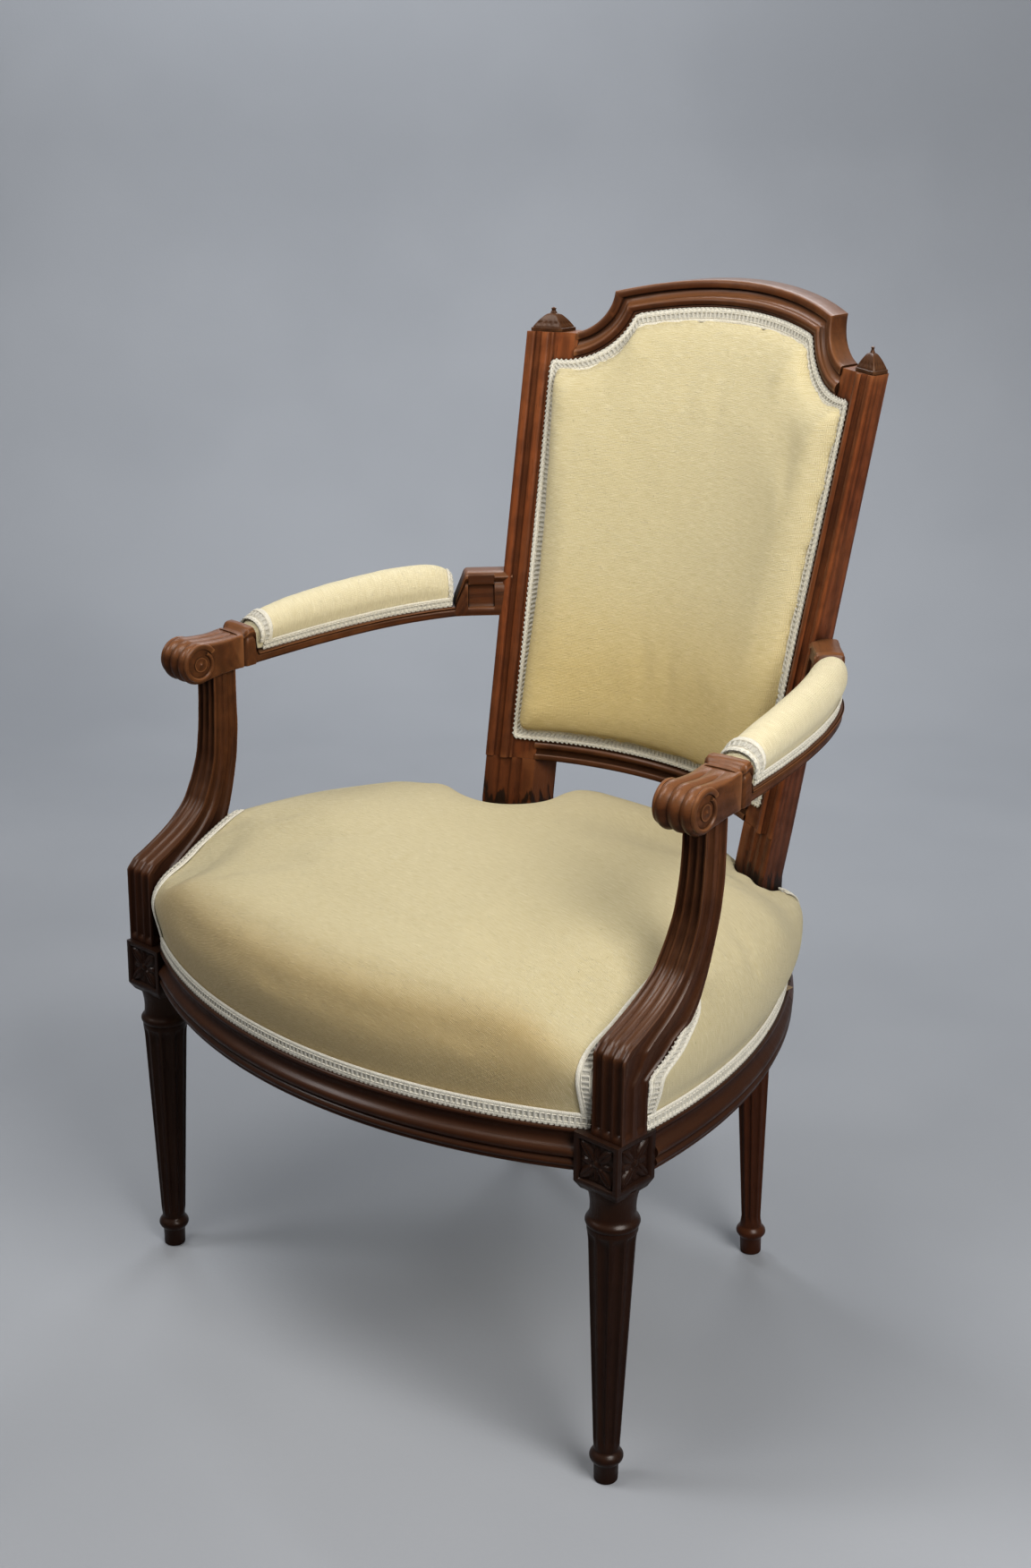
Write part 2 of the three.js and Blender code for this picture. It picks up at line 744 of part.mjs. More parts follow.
function finial() {
  const centre = finialPlace();
  const base = stileTop + fit;
  const ring = (half, deep, z) => squareRing(half, deep, centre, z).map((p) => vec(
    p.x, p.y - (p.x - centre.x) * stileFaceSlopeShare, p.z,
  ));
  const body = loft([
    ...finialShares.map(([wide, deep, rise]) => ring(
      finialWidth * wide / 2, finialDepth * deep / 2, base + finialHeight * rise,
    )),
    ring(finialTipWidth / 2, finialTipWidth / 2, base + finialHeight),
  ]);
  const knobMiddle = vec(centre.x, centre.y, base + finialHeight + knobHeight / 2 - fit);
  const knob = peg(knobRadius, knobHeight + fit, knobMiddle, vec(0, 0, 1));
  return body.add(knob).add(finialSpigot());
}

// Arms. The path runs from inside the stile, along a bend, and straight on to the scroll.
const armBend = new THREE.CubicBezierCurve3(armStart, armBendRear, armBendFront, armEnd);

function armPlace(share) {
  const inside = Math.min(Math.max(share, 0), 1);
  const heading = armBend.getTangent(inside);
  heading.z = 0;
  heading.normalize();
  const across = vec(-heading.y, heading.x, 0);
  const point = armBend.getPoint(inside);
  return { point, heading, across };
}

// How far the upper edges of an arm lean outwards, at its full height
const leanShares = [0.2, 0.75];

function armLeanAt(share) {
  return armLean * (1 - smoothstep(share, ...leanShares));
}

// One section of an arm, square to its path
function armSection({ share = 1, forward = 0, bottom = 0, top, width }) {
  const { point, heading, across } = armPlace(share);
  const middle = point.clone().addScaledVector(heading, forward);
  const lean = armLeanAt(share) * top / armHeightRear;
  const corners = [[-1, bottom, 0], [1, bottom, 0], [1, top, lean], [-1, top, lean]];
  return corners.map(([side, rise, outward]) => {
    const corner = middle.clone().addScaledVector(across, side * width / 2 + outward);
    return vec(corner.x, corner.y, point.z + rise);
  });
}

// Height of the arm's upper face above its underside, and its width, along the bend.
// Between the two raised ends lies the sunk bed of the arm pad.
const armStations = [
  { share: 0, top: armHeightRear, width: armWidthRear },
  { share: 0.12, top: armHeightRear, width: armWidthRear },
  { share: 0.22, top: armHeightRear * 0.96, width: armWidthRear },
  { share: 0.245, top: armHeightRear * 0.8, width: armWidthRear },
  { share: 0.258, top: padBedThickness, width: armWidthRear },
  { share: 0.34, top: padBedThickness, width: armWidthPad * 0.9 },
  { share: 0.45, top: padBedThickness, width: armWidthPad },
  { share: 0.6, top: padBedThickness, width: armWidthPad },
  { share: 0.75, top: padBedThickness, width: armWidthPad },
  { share: 0.87, top: padBedThickness, width: armWidthPad },
  { share: 0.93, top: padBedThickness, width: armWidthPad },
  { share: 0.936, top: lipHeight * 0.72, width: armWidthPad * 1.04 },
  { share: 0.94, top: lipHeight, width: armWidthLip },
  { share: 0.952, top: lipHeight, width: armWidthLip },
  { share: 0.956, top: neckTopHeight, width: armWidthPad },
];

// Height of the arm's upper face at any share of its bend
function bedTop(share) {
  const next = armStations.findIndex((station) => station.share >= share);
  const to = armStations[Math.max(next, 1)];
  const from = armStations[Math.max(next, 1) - 1];
  const part = (share - from.share) / (to.share - from.share);
  return { top: lerp(from.top, to.top, part), width: lerp(from.width, to.width, part) };
}

// Steps round the front of the scroll, as shares of a quarter turn
const scrollTurnShares = [0, 0.245, 0.5, 0.71, 0.89];

function armBody() {
  const tail = armSection({ share: 0, forward: -armTail, top: armHeightRear, width: armWidthRear });
  const neck = armSection({ top: neckTopHeight, width: armWidthPad });
  const scroll = scrollTurnShares.map((turn) => turn * Math.PI / 2).map((angle) => armSection({
    forward: scrollForward + scrollRadius * Math.sin(angle),
    bottom: scrollRise - scrollRadius * Math.cos(angle),
    top: scrollRise + scrollRadius * Math.cos(angle),
    width: scrollWidth,
  }));
  const { point, heading, across } = armPlace(1);
  const eye = point.clone().addScaledVector(heading, scrollForward);
  eye.z = scrollCentreHeight;
  const button = peg(eyeRadius, scrollWidth + 2 * eyeProud, eye, across);
  return loft([tail, ...armStations.map(armSection), neck, ...scroll]).add(button);
}

function arm() {
  return armBody()
    .subtract(stileCutter([armStart.z - overrun, armStart.z + armHeightRear + overrun], fit))
    .subtract(armDowel(fit))
    .subtract(supportHeadTenon(fit))
    .subtract(supportPeg(fit));
}

// A dowel holds the arm's tail to the side of the stile
function armDowel(margin = 0) {
  const { point, heading } = armPlace(0);
  const middle = point.clone().addScaledVector(heading, -armTail / 4);
  middle.z += armHeightRear / 2;
  return peg(armDowelRadius, armDowelLength, middle, heading, margin);
}

// Arm support: [height, front, rear] along its sweep, as shares of its own sizes
const narrowingEndShare = 0.9;
const supportSweepShares = [
  [0, 0, 0], [0.19, 0, 0], [0.243, 0, 0.24], [0.29, 0, 0.4], [0.325, 0.09, 0.585],
  [0.37, 0.33, 0.68], [0.42, 0.55, 0.745], [0.49, 0.75, 0.82], [0.585, 0.875, 0.9],
  [0.67, 0.95, 0.96], [0.78, 0.985, 1], [0.9, 1, 1],
];

function supportSection([rise, front, rear]) {
  const height = armEnd.z - railTop;
  const z = railTop + fit + rise * height;
  const narrowing = smoothstep(rise, stumpHeight / height, narrowingEndShare);
  const inner = lerp(stumpInner, supportTopInner, narrowing);
  const outer = lerp(stumpOuter, supportTopOuter, narrowing);
  const frontY = -lerp(stumpFrontForward, supportTopFrontForward, front);
  const rearY = -lerp(stumpRearForward, supportTopRearForward, rear);
  return [
    vec(inner, frontY, z), vec(outer, frontY, z), vec(outer, rearY, z), vec(inner, rearY, z),
  ];
}

function supportTopSection() {
  const top = supportSection([1, 1, 1]);
  return top.map((p) => vec(p.x, p.y, armUndersideZ(p.y) - fit));
}

// Height of the arm's underside above the support: it drops a little towards the scroll
function armUndersideZ(y) {
  const { point } = armPlace(1);
  const { point: behind } = armPlace(armStations.at(-1).share);
  const scrollBottom = scrollCentreHeight - scrollRadius;
  if (y < point.y) return lerp(point.z, scrollBottom, (point.y - y) / scrollForward);
  return lerp(point.z, behind.z, (y - point.y) / (behind.y - point.y));
}

function armSupport() {
  const rings = [...supportSweepShares.map(supportSection), supportTopSection()];
  return loft(rings).add(supportFootTenon()).add(supportHeadTenon()).subtract(supportPeg(fit));
}

function supportFootTenon(margin = 0) {
  const x = (stumpInner + stumpOuter) / 2;
  const y = -frontLegForward - stubTenon / 2;
  const low = vec(x - stubTenon / 2, y - stubTenon / 2, railTop - stubTenonLength);
  const high = vec(x + stubTenon / 2, y + stubTenon / 2, railTop + overrun);
  return block(low, high, margin);
}

function supportHeadTenon(margin = 0) {
  const x = (supportTopInner + supportTopOuter) / 2;
  const y = -(supportTopFrontForward + supportTopRearForward) / 2;
  const low = vec(x - stubTenon / 2, y - stubTenon / 2, armEnd.z - overrun);
  const high = vec(x + stubTenon / 2, y + stubTenon / 2, armEnd.z + stubTenonLength);
  return block(low, high, margin);
}

function supportPeg(margin = 0) {
  const x = (supportTopInner + supportTopOuter) / 2 + pegLength / 8;
  const y = -(supportTopFrontForward + supportTopRearForward) / 2;
  const z = armEnd.z + stubTenonLength / 2;
  return peg(thinPegRadius, shortPegLength, vec(x, y, z), vec(1, 0, 0), margin);
}

// Seat upholstery. The rim follows the rails from the front's middle round to the rear's.
// From the front to the side, the border's shape changes between these shares of the reaches.
const turnFrontShare = 0.85;
const turnSideShare = 0.6;

function seatRim() {
  const frontEnd = frontLegSpread + blockWidth / 4;
  const sideStart = -frontLegForward + blockDepth / 4;
  const rearCorner = rearBlockBack;
  const front = steps(0, frontEnd, 6).map((x) => [x, frontArcY(x)]);
  const side = steps(sideStart, rearCorner - borderInset, 7).map((y) => [sideArcX(y), y]);
  const rearX = sideArcX(rearCorner) - borderInset;
  const rear = steps(rearX, 0, 4).map((x) => [x, Math.min(rearArcY(x), rearBlockBack)]);
  const half = [...front, ...side, ...rear];
  const other = half.slice(1, -1).reverse().map(([x, y]) => [-x, y]);
  return [...half, ...other].map(([x, y]) => {
    const out = new THREE.Vector2(x, y + seatCentreForward);
    const reach = out.length();
    const sideways = smoothstep(y, -frontReach * turnFrontShare, -sideWidestForward * turnSideShare);
    return { x, y, out: out.normalize(), reach, sideways };
  });
}

// The border of the seat at its front and at its sides: [out from the rail, rise] in shares
// of the inset of its foot and of its crown
const frontBorderShares = [
  [-1, 0], [-1, 0.105], [-0.45, 0.195], [-0.3, 0.33], [-0.75, 0.465], [-2, 0.57], [-5, 0.67],
  [-10.5, 0.79],
];
const sideBorderShares = [
  [-1, 0], [-1, 0.105], [0.1, 0.2], [0.6, 0.355], [0.25, 0.52], [-1, 0.635], [-3.7, 0.755],
  [-9.4, 0.875],
];
const seatCrownShares = [[0.5, 0.965], [0.25, 0.99]];

// The seat sinks towards the stiles, where the cloth is cut and drawn down round them
const dipRiseShares = [0.1, 0.8];

function stileDipAt(x, y) {
  const stile = stileOuterAtSeat - memberWidth / 2;
  const away = Math.hypot(Math.abs(x) - stile, y - rearBlockFront);
  return stileDip * (1 - smoothstep(away, 0, stileDipReach));
}

function seatPoint(x, y, rise, inset) {
  const sunk = stileDipAt(x, y) * smoothstep(rise, ...dipRiseShares);
  return vec(x, y, seatBase + rise * seatCrown - sunk - inset * rise);
}

function seatRing(rim, level, inset) {
  return rim.map(({ x, y, out, sideways }) => {
    const [frontOut, frontRise] = frontBorderShares[level];
    const [sideOut, sideRise] = sideBorderShares[level];
    const move = lerp(frontOut, sideOut, sideways) * borderInset - inset;
    const rise = lerp(frontRise, sideRise, sideways);
    return seatPoint(x + out.x * move, y + out.y * move, rise, level > 1 ? inset : 0);
  });
}

// A domed seat form. An inset gives the form under the cover, and a base its lower face.
function seatDome(inset, base) {
  const rim = seatRim();
  const border = frontBorderShares.map((_, level) => seatRing(rim, level, inset));
  const crown = seatCrownShares.map(([share, rise]) => rim.map(({ out, reach }) => seatPoint(
    out.x * reach * share, out.y * reach * share - seatCentreForward, rise, inset,
  )));
  border[0] = border[0].map((p) => vec(p.x, p.y, base));
  const foot = border[0].map((p) => vec(p.x / 2, (p.y - seatCentreForward) / 2, base));
  return loft([foot, ...border, ...crown], {
    lastPole: seatPoint(0, -seatCentreForward, 1, inset),
  });
}

// The corner that the cover leaves free for an arm support, with air round it
const notchDropShare = 0.4;

function supportNotch(air) {
  const height = armEnd.z - railTop;
  const rear = supportSweepShares.map(([rise, , share]) => new THREE.Vector2(
    air - lerp(stumpRearForward, supportTopRearForward, share),
    seatBase + rise * height - air * notchDropShare,
  ));
  rear[0].y -= overrun;
  const outline = [
    new THREE.Vector2(-frontReach - blockDepth, rear[0].y), ...rear,
    new THREE.Vector2(-frontReach - blockDepth, rear.at(-1).y),
  ];
  const shape = new THREE.Shape(outline);
  const depth = 2 * blockWidth;
  const geometry = new THREE.ExtrudeGeometry(shape, { depth, bevelEnabled: false });
  geometry.applyMatrix4(new THREE.Matrix4().set(
    0, 0, 1, stumpInner - air, 1, 0, 0, 0, 0, 1, 0, 0, 0, 0, 0, 1,
  ));
  return solidFrom(geometry);
}

function stileSlot(air) {
  const heights = [railTop - overrun, rakeStart, railTop + seatCrown];
  return stileCutter(heights, air, 0, railThickness);
}

function mirrorSolid(solid) {
  return solidFrom(mirrored(geometryFrom(solid)));
}

function clearOfPosts(solid) {
  const corner = supportNotch(notchClearance);
  const slot = stileSlot(notchClearance);
  return solid
    .subtract(corner)
    .subtract(mirrorSolid(corner))
    .subtract(slot)
    .subtract(mirrorSolid(slot));
}

const stuffingBase = seatBase + webbingThickness + hessianThickness + 2 * fit;

function seatCover() {
  return clearOfPosts(seatDome(0, seatBase).subtract(seatDome(coverThickness, seatBase - overrun)));
}

function seatStuffing() {
  return clearOfPosts(seatDome(coverThickness + fit, stuffingBase));
}

// A flat sheet over the seat frame, inside the cover's foot
function seatSheet(inset, base, thickness) {
  const rim = seatRim();
  const rings = [base, base + thickness].map((z) => rim.map(({ x, y, out }) => vec(
    x - out.x * inset, y - out.y * inset, z,
  )));
  return clearOfPosts(loft(rings));
}

function seatHessian() {
  const base = seatBase + webbingThickness + fit;
  return seatSheet(borderInset + coverThickness + 2 * fit, base, hessianThickness);
}

function seatWebbing() {
  const sheet = seatSheet(webbingInset, seatBase, webbingThickness);
  const low = seatBase - overrun;
  const high = seatBase + webbingThickness + overrun;
  const lengthways = [-1.5, -0.5, 0.5, 1.5].map((k) => block(
    vec(k * webbingSpacing - webbingWidth / 2, -2 * frontReach, low),
    vec(k * webbingSpacing + webbingWidth / 2, 2 * frontReach, high),
  ));
  const crossways = [-2.5, -1.5, -0.5, 0.5].map((k) => block(
    vec(-2 * sideReach, k * webbingSpacing - webbingWidth / 2, low),
    vec(2 * sideReach, k * webbingSpacing + webbingWidth / 2, high),
  ));
  const strips = [...lengthways, ...crossways].reduce((all, strip) => all.add(strip));
  return sheet.intersect(strips);
}

// Gimp: a narrow woven braid. Round the seat it stands on the rails against the cover.
function seatGimpRing(x, y, outX, outY) {
  const near = -borderInset + fit;
  const far = near + gimpThickness;
  return [[near, 0], [far, 0], [far, gimpWidth], [near, gimpWidth]].map(([move, rise]) => vec(
    x + outX * move, y + outY * move, seatBase + rise,
  ));
}

function frontGimp() {
  const end = stumpInner - notchClearance;
  const rings = steps(-end, end, 2 * arcSteps).map((x) => {
    const out = new THREE.Vector2(x, frontArcY(x) + seatCentreForward).normalize();
    const ring = seatGimpRing(x, frontArcY(x), out.x, out.y);
    return Math.abs(x) === end ? ring.map((p) => vec(x, p.y, p.z)) : ring;
  });
  return loft(rings);
}

function sideGimp() {
  const from = -stumpRearForward + notchClearance + 2 * fit;
  const to = rearBlockBack - 2 * borderInset;
  const rings = steps(from, to, arcSteps).map((y) => {
    const out = new THREE.Vector2(sideArcX(y), y + seatCentreForward).normalize();
    return seatGimpRing(sideArcX(y), y, out.x, out.y);
  });
  return loft(rings);
}

function rearGimp() {
  const end = stileOuterAtSeat - memberWidth - 2 * notchClearance;
  const rings = steps(-end, end, arcSteps).map((x) => {
    const y = Math.min(rearArcY(x), rearBlockBack);
    const out = new THREE.Vector2(x, y + seatCentreForward).normalize();
    return seatGimpRing(x, y, out.x, out.y);
  });
  return loft(rings);
}

// A thin layer on the seat's cover, above the braid along the rails
function seatLayer() {
  const low = seatBase + gimpWidth + 2 * fit;
  const high = seatBase + 2 * seatCrown;
  const above = block(
    vec(-2 * sideReach, -2 * frontReach, low), vec(2 * sideReach, frontReach, high),
  );
  return seatDome(-fit - gimpThickness, seatBase)
    .subtract(seatDome(-fit, seatBase - overrun))
    .intersect(above);
}

// Braid round the foot of an arm support, where the cover is cut out for it
function supportGimp(onSide) {
  return seatLayer()
    .intersect(onSide(supportNotch(notchClearance + gimpWidth)))
    .subtract(onSide(supportNotch(notchClearance)));
}

// Braid beside the outer face of a stile
function stileGimp(onSide) {
  const outside = block(
    vec(stileOuterAtSeat + notchClearance, -frontReach, railTop),
    vec(2 * sideReach, frontReach, seatBase + 2 * seatCrown),
  );
  return seatLayer()
    .intersect(onSide(stileSlot(notchClearance + gimpWidth)))
    .subtract(onSide(stileSlot(notchClearance)))
    .intersect(onSide(outside));
}

// Back upholstery. The rim lies on the back's face, a strip's width inside the frame's edge.
function backRim() {
  const sideX = (z) => stileOuterX(z) - visibleStrip;
  const notch = notchRadius + visibleStrip;
  const arch = archRadius - visibleStrip;
  const shoulderZ = notchHeight - notch;
  const endAngle = notchEndAngle(notch, arch);
  const corner = notchPoint(notch, endAngle);
  const startAngle = Math.asin((notchSpread - sideX(shoulderZ) + 2 * fit) / notch);
  const bottom = steps(0, sideX(padOutlineBottom), 6).map((x) => [x, padOutlineBottom]);
  const sides = steps(padOutlineBottom, shoulderZ, 4).slice(1, -1).map((z) => [sideX(z), z]);
  const shoulder = steps(startAngle, endAngle, 4).map((a) => notchPoint(notch, a).toArray());
  const over = steps(corner.x, 0, 6).slice(1).map((x) => archPoint(arch, x).toArray());
  const half = [...bottom, ...sides, ...shoulder, ...over];
  const other = half.slice(1, -1).reverse().map(([x, z]) => [-x, z]);
  return [...half, ...other].map(([x, z]) => {
    const out = new THREE.Vector2(x, z - backCentreHeight);
    const reach = out.length();
    return { x, z, out: out.normalize(), reach };
  });
}

// A point over the back's face: forward of it, or behind the frame where asked
function overBack(x, z, rise, rearward) {
  const y = rearward ? backFaceY(x, z) + backThickness(z) + rise : backFaceY(x, z) - rise;
  return vec(x, y, z);
}

// A form over the back. Border pairs are [inside the rim, rise] and crown pairs [share, rise].
// Its base touches the frame only as far in as the frame's own inner edge.
function backForm(border, crown, base, rearward = false) {
  const rim = backRim();
  const atBorder = ([inside, rise]) => rim.map(({ x, z, out }) => overBack(
    x - out.x * inside, z - out.y * inside, rise, rearward,
  ));
  const atShare = ([share, rise]) => rim.map(({ out, reach }) => overBack(
    out.x * reach * share, backCentreHeight + out.y * reach * share, rise, rearward,
  ));
  const foot = crown.map(([share]) => [share, base]).reverse();
  const edge = [memberWidth - visibleStrip + fit, base];
  return loft([...foot.map(atShare), ...[edge, ...border].map(atBorder), ...crown.map(atShare)], {
    firstPole: overBack(0, backCentreHeight, base, rearward),
    lastPole: overBack(0, backCentreHeight, crown.at(-1)[1], rearward),
  });
}

const flangeWidth = gimpWidth + fit;

// The padded form of the back, inside the flange that its cover's edge makes under the gimp.
// [inside the flange, rise] as shares of the flange's width and of the crown
const backBorderShares = [[0.12, 0.35], [0.6, 0.6], [1.8, 0.78]];
const backCrownShares = [[0.55, 0.94], [0.28, 0.99]];

function padProfile(inset) {
  const border = backBorderShares.map(([inside, rise]) => [
    flangeWidth * (1 + inside) + inset, backCrown * rise - inset,
  ]);
  const crown = backCrownShares.map(([share, rise]) => [share, backCrown * rise - inset]);
  return { border, crown };
}

function backCover() {
  const { border, crown } = padProfile(0);
  const edge = [[fit, coverBase], [fit, coverThickness], [flangeWidth, coverThickness]];
  return backForm([...edge, ...border], crown, coverBase)
    .subtract(backFilling(coverThickness, -overrun));
}

function backFilling(inset, base) {
  const { border, crown } = padProfile(inset);
  return backForm([[border[0][0], base], ...border], crown, base);
}

const backStuffingBase = coverBase + webbingThickness + hessianThickness + 3 * fit;
const backStuffing = () => backFilling(coverThickness + fit, backStuffingBase);

// A thin sheet over the opening of the back between two places across it. It is made of
// upright strips whose edges stand at fixed places, so that several sheets lie flat together.
const sheetSteps = 14;
const sheetInset = visibleStrip + flangeWidth + 2 * coverThickness + 2 * fit;
const sheetHalfWidth = stileOuterX(padOutlineBottom) - sheetInset;
const sheetLow = padOutlineBottom + sheetInset - visibleStrip;

// The upper edge of the sheets runs beside the arch and the notches
function sheetHigh(x) {
  const arch = archPoint(archRadius - sheetInset, x).y;
  const radius = notchRadius + sheetInset;
  const aside = notchSpread - Math.abs(x);
  if (aside > radius) return arch;
  return Math.min(arch, notchHeight - Math.sqrt(radius ** 2 - aside ** 2));
}

function backSheet(base, thickness, lowAt, highAt, from = 0, to = sheetSteps) {
  const places = steps(-sheetHalfWidth, sheetHalfWidth, sheetSteps).slice(from, to + 1);
  return loft(places.map((x) => [
    overBack(x, lowAt(x), base), overBack(x, highAt(x), base),
    overBack(x, highAt(x), base + thickness), overBack(x, lowAt(x), base + thickness),
  ]));
}

function backHessian() {
  const base = coverBase + webbingThickness + fit;
  return backSheet(base, hessianThickness, () => sheetLow, sheetHigh);
}

const uprightSteps = [1, 6, 11];
const levelShares = [0.125, 0.375, 0.625, 0.875];

function backWebbing() {
  const upright = uprightSteps.map((from) => backSheet(
    coverBase, webbingThickness, () => sheetLow, sheetHigh, from, from + 2,
  ));
  const level = levelShares.map((share) => {
    const middle = lerp(sheetLow, sheetHigh(sheetHalfWidth), share);
    return backSheet(
      coverBase, webbingThickness, () => middle - webbingWidth / 2,
      () => middle + webbingWidth / 2,
    );
  });
  return [...upright, ...level].reduce((all, strip) => all.add(strip));
}

// The gimp round the back lies flat on the cover's flange
function backGimp(rearward = false) {
  const low = coverThickness + fit;
  const high = low + gimpThickness;
  const corners = [[0, low], [gimpWidth, low], [gimpWidth, high], [0, high]];
  const rings = backRim().map(({ x, z, out }) => corners.map(([inside, rise]) => overBack(
    x - out.x * inside, z - out.y * inside, rise, rearward,
  )));
  return loft(rings, { loop: true });
}

// Rear panel of the back: taut cloth over a thin layer of wadding. Its shares are those of the
// flange's width and of the panel's crown.
const panelBorderShares = [[1.4, 0.5], [2.6, 0.8]];
const panelCrownShares = [[0.55, 0.97], [0.28, 1]];

function outsideBackCover() {
  const border = [
    [fit, coverBase], [fit, coverThickness], [flangeWidth, coverThickness],
    ...panelBorderShares.map(([inside, rise]) => [flangeWidth * inside, rearPanelCrown * rise]),
  ];
  const crown = panelCrownShares.map(([share, rise]) => [share, rearPanelCrown * rise]);
  return backForm(border, crown, coverBase, true);
}

// Arm pads: rounded sections along the sunk bed of the arm
const padStartShare = 0.28;
const padFinishShare = 0.923;
const padBandShares = [0.07, 0.965];
const padCrownShares = [
  [0, 0.6], [0.07, 0.84], [0.2, 0.96], [0.45, 1], [0.72, 0.95], [0.88, 0.84], [0.965, 0.68],
  [1, 0.55],
];
const padSectionShares = [
  [-1, 0], [-1, 0.3], [-1.32, 0.5], [-1.22, 0.72], [-0.85, 0.91], [-0.32, 0.99],
];

// Sections of a pad, drawn in by an inset, or grown where it is below zero
function armPad(inset, drop) {
  const last = padCrownShares.length - 1;
  const rings = padCrownShares.map(([along, crown], i) => {
    const share = lerp(padStartShare, padFinishShare, along);
    const { point, heading, across } = armPlace(share);
    const { top, width } = bedTop(share);
    const endwise = { 0: inset, [last]: -inset }[i] ?? 0;
    const middle = point.clone().addScaledVector(heading, endwise);
    const half = width / 2 - armPadInset;
    const height = armPadCrown * crown - inset;
    const left = padSectionShares.map(([side, rise]) => [
      side * half - Math.sign(side) * inset, rise,
    ]);
    const right = left.map(([side, rise]) => [-side, rise]).reverse();
    return [...left, ...right].map(([side, rise]) => {
      const aside = side + armLeanAt(share) * rise;
      return vec(
        middle.x + across.x * aside, middle.y + across.y * aside,
        point.z + top + fit + (rise === 0 ? -drop : rise * height),
      );
    });
  });
  return loft(rings);
}

const armPadCover = () => armPad(0, 0).subtract(armPad(coverThickness, overrun));
const armPadStuffing = () => armPad(coverThickness + 2 * fit, 0);

// The braid of an arm pad: a band along each side of its foot, and one over each of its ends
function armPadGimp() {
  const shell = armPad(-2 * fit - gimpThickness, 0).subtract(armPad(-2 * fit, overrun));
  const window = loft(steps(...padBandShares, 6).map((along) => {
    const share = lerp(padStartShare, padFinishShare, along);
    const { point, across } = armPlace(share);
    const low = point.z + bedTop(share).top + armPadGimpWidth;
    const high = low + 2 * armPadCrown;
    return [[-1, low], [1, low], [1, high], [-1, high]].map(
      ([side, z]) => vec(
        point.x + across.x * side * armWidthLip, point.y + across.y * side * armWidthLip, z,
      ),
    );
  }));
  return shell.subtract(window);
}

// Materials of the parts
const finish = (colour, roughness) => new THREE.MeshStandardMaterial({
  color: colour, roughness, metalness: 0,
});
const walnut = 0x5b2f1c;
const oak = 0x7a5230;
const cream = 0xd8c79a;
const braidWhite = 0xe9e3d0;
const jute = 0x9c7d4e;
const horsehair = 0x3b2a1e;

const chair = new THREE.Group();

function addPiece(name, geometry, colour, roughness) {
  const mesh = new THREE.Mesh(geometry, finish(colour, roughness));
  mesh.name = name;
  chair.add(mesh);
}

// The same piece seen in a mirror, with its faces still pointing out
function mirrored(geometry) {
  const copy = geometry.clone();
  copy.scale(-1, 1, 1);
  const corners = copy.index.array;
  for (let i = 0; i < corners.length; i += 3) {
    [corners[i + 1], corners[i + 2]] = [corners[i + 2], corners[i + 1]];
  }
  return copy;
}

function addSingle(name, solid, colour, roughness) {
  addPiece(name, geometryFrom(solid), colour, roughness);
}

function addPair(name, solid, colour, roughness) {
  const geometry = geometryFrom(solid);
  addPiece(`${name}_right`, geometry, colour, roughness);
  addPiece(`${name}_left`, mirrored(geometry), colour, roughness);
}

function addFrame() {
  const wood = [walnut, 0.45];
  addPair('front_leg', frontLeg(), ...wood);
  addPair('rear_upright', rearUpright(), ...wood);
  addSingle('front_rail', frontRail(), ...wood);
  addPair('side_rail', sideRail(), ...wood);
  addSingle('rear_rail', rearRail(), ...wood);
  addSingle('crest_rail', crestRail(), ...wood);
  addSingle('lower_back_rail', lowerBackRail(), ...wood);
  addPair('arm_support', armSupport(), ...wood);
  addPair('arm', arm(), ...wood);
  addPair('finial', finial(), ...wood);
}

function addPegs() {
  const wood = [oak, 0.6];
  addPair('front_rail_peg', frontTenonPeg(), ...wood);
  addPair('side_rail_peg', sideTenonPeg(), ...wood);
  addPair('rear_rail_peg', rearTenonPeg(), ...wood);
  addPair('crest_peg', crestPeg(), ...wood);
  addPair('lower_rail_peg', lowerPeg(), ...wood);
  addPair('arm_dowel', armDowel(), ...wood);
  addPair('arm_support_peg', supportPeg(), ...wood);
}

function addSeat() {
  addSingle('seat_webbing', seatWebbing(), jute, 0.95);
  addSingle('seat_hessian', seatHessian(), jute, 0.95);
  addSingle('seat_stuffing', seatStuffing(), horsehair, 1);
  addSingle('seat_cover', seatCover(), cream, 0.85);
  addSingle('seat_gimp_front', frontGimp(), braidWhite, 0.8);
  addPair('seat_gimp_side', sideGimp(), braidWhite, 0.8);
  addSingle('seat_gimp_rear', rearGimp(), braidWhite, 0.8);
  for (const [side, onSide] of [['right', (solid) => solid], ['left', mirrorSolid]]) {
    addSingle(`support_gimp_${side}`, supportGimp(onSide), braidWhite, 0.8);
    addSingle(`stile_gimp_${side}`, stileGimp(onSide), braidWhite, 0.8);
  }
}

function addBack() {
  addSingle('back_webbing', backWebbing(), jute, 0.95);
  addSingle('back_hessian', backHessian(), jute, 0.95);
  addSingle('back_stuffing', backStuffing(), horsehair, 1);
  addSingle('back_cover', backCover(), cream, 0.85);
  addSingle('back_gimp', backGimp(), braidWhite, 0.8);
  addSingle('outside_back_cover', outsideBackCover(), cream, 0.85);
  addSingle('outside_back_gimp', backGimp(true), braidWhite, 0.8);
}

function addArmPads() {
  addPair('arm_pad_stuffing', armPadStuffing(), horsehair, 1);
  addPair('arm_pad_cover', armPadCover(), cream, 0.85);
  addPair('arm_pad_gimp', armPadGimp(), braidWhite, 0.8);
}

addFrame();
addPegs();
addSeat();
addBack();
addArmPads();

// The origin is the middle of the footprint of the whole chair, on the floor
const extent = new THREE.Box3().setFromObject(chair);
chair.position.y = -(extent.min.y + extent.max.y) / 2;

export default chair;
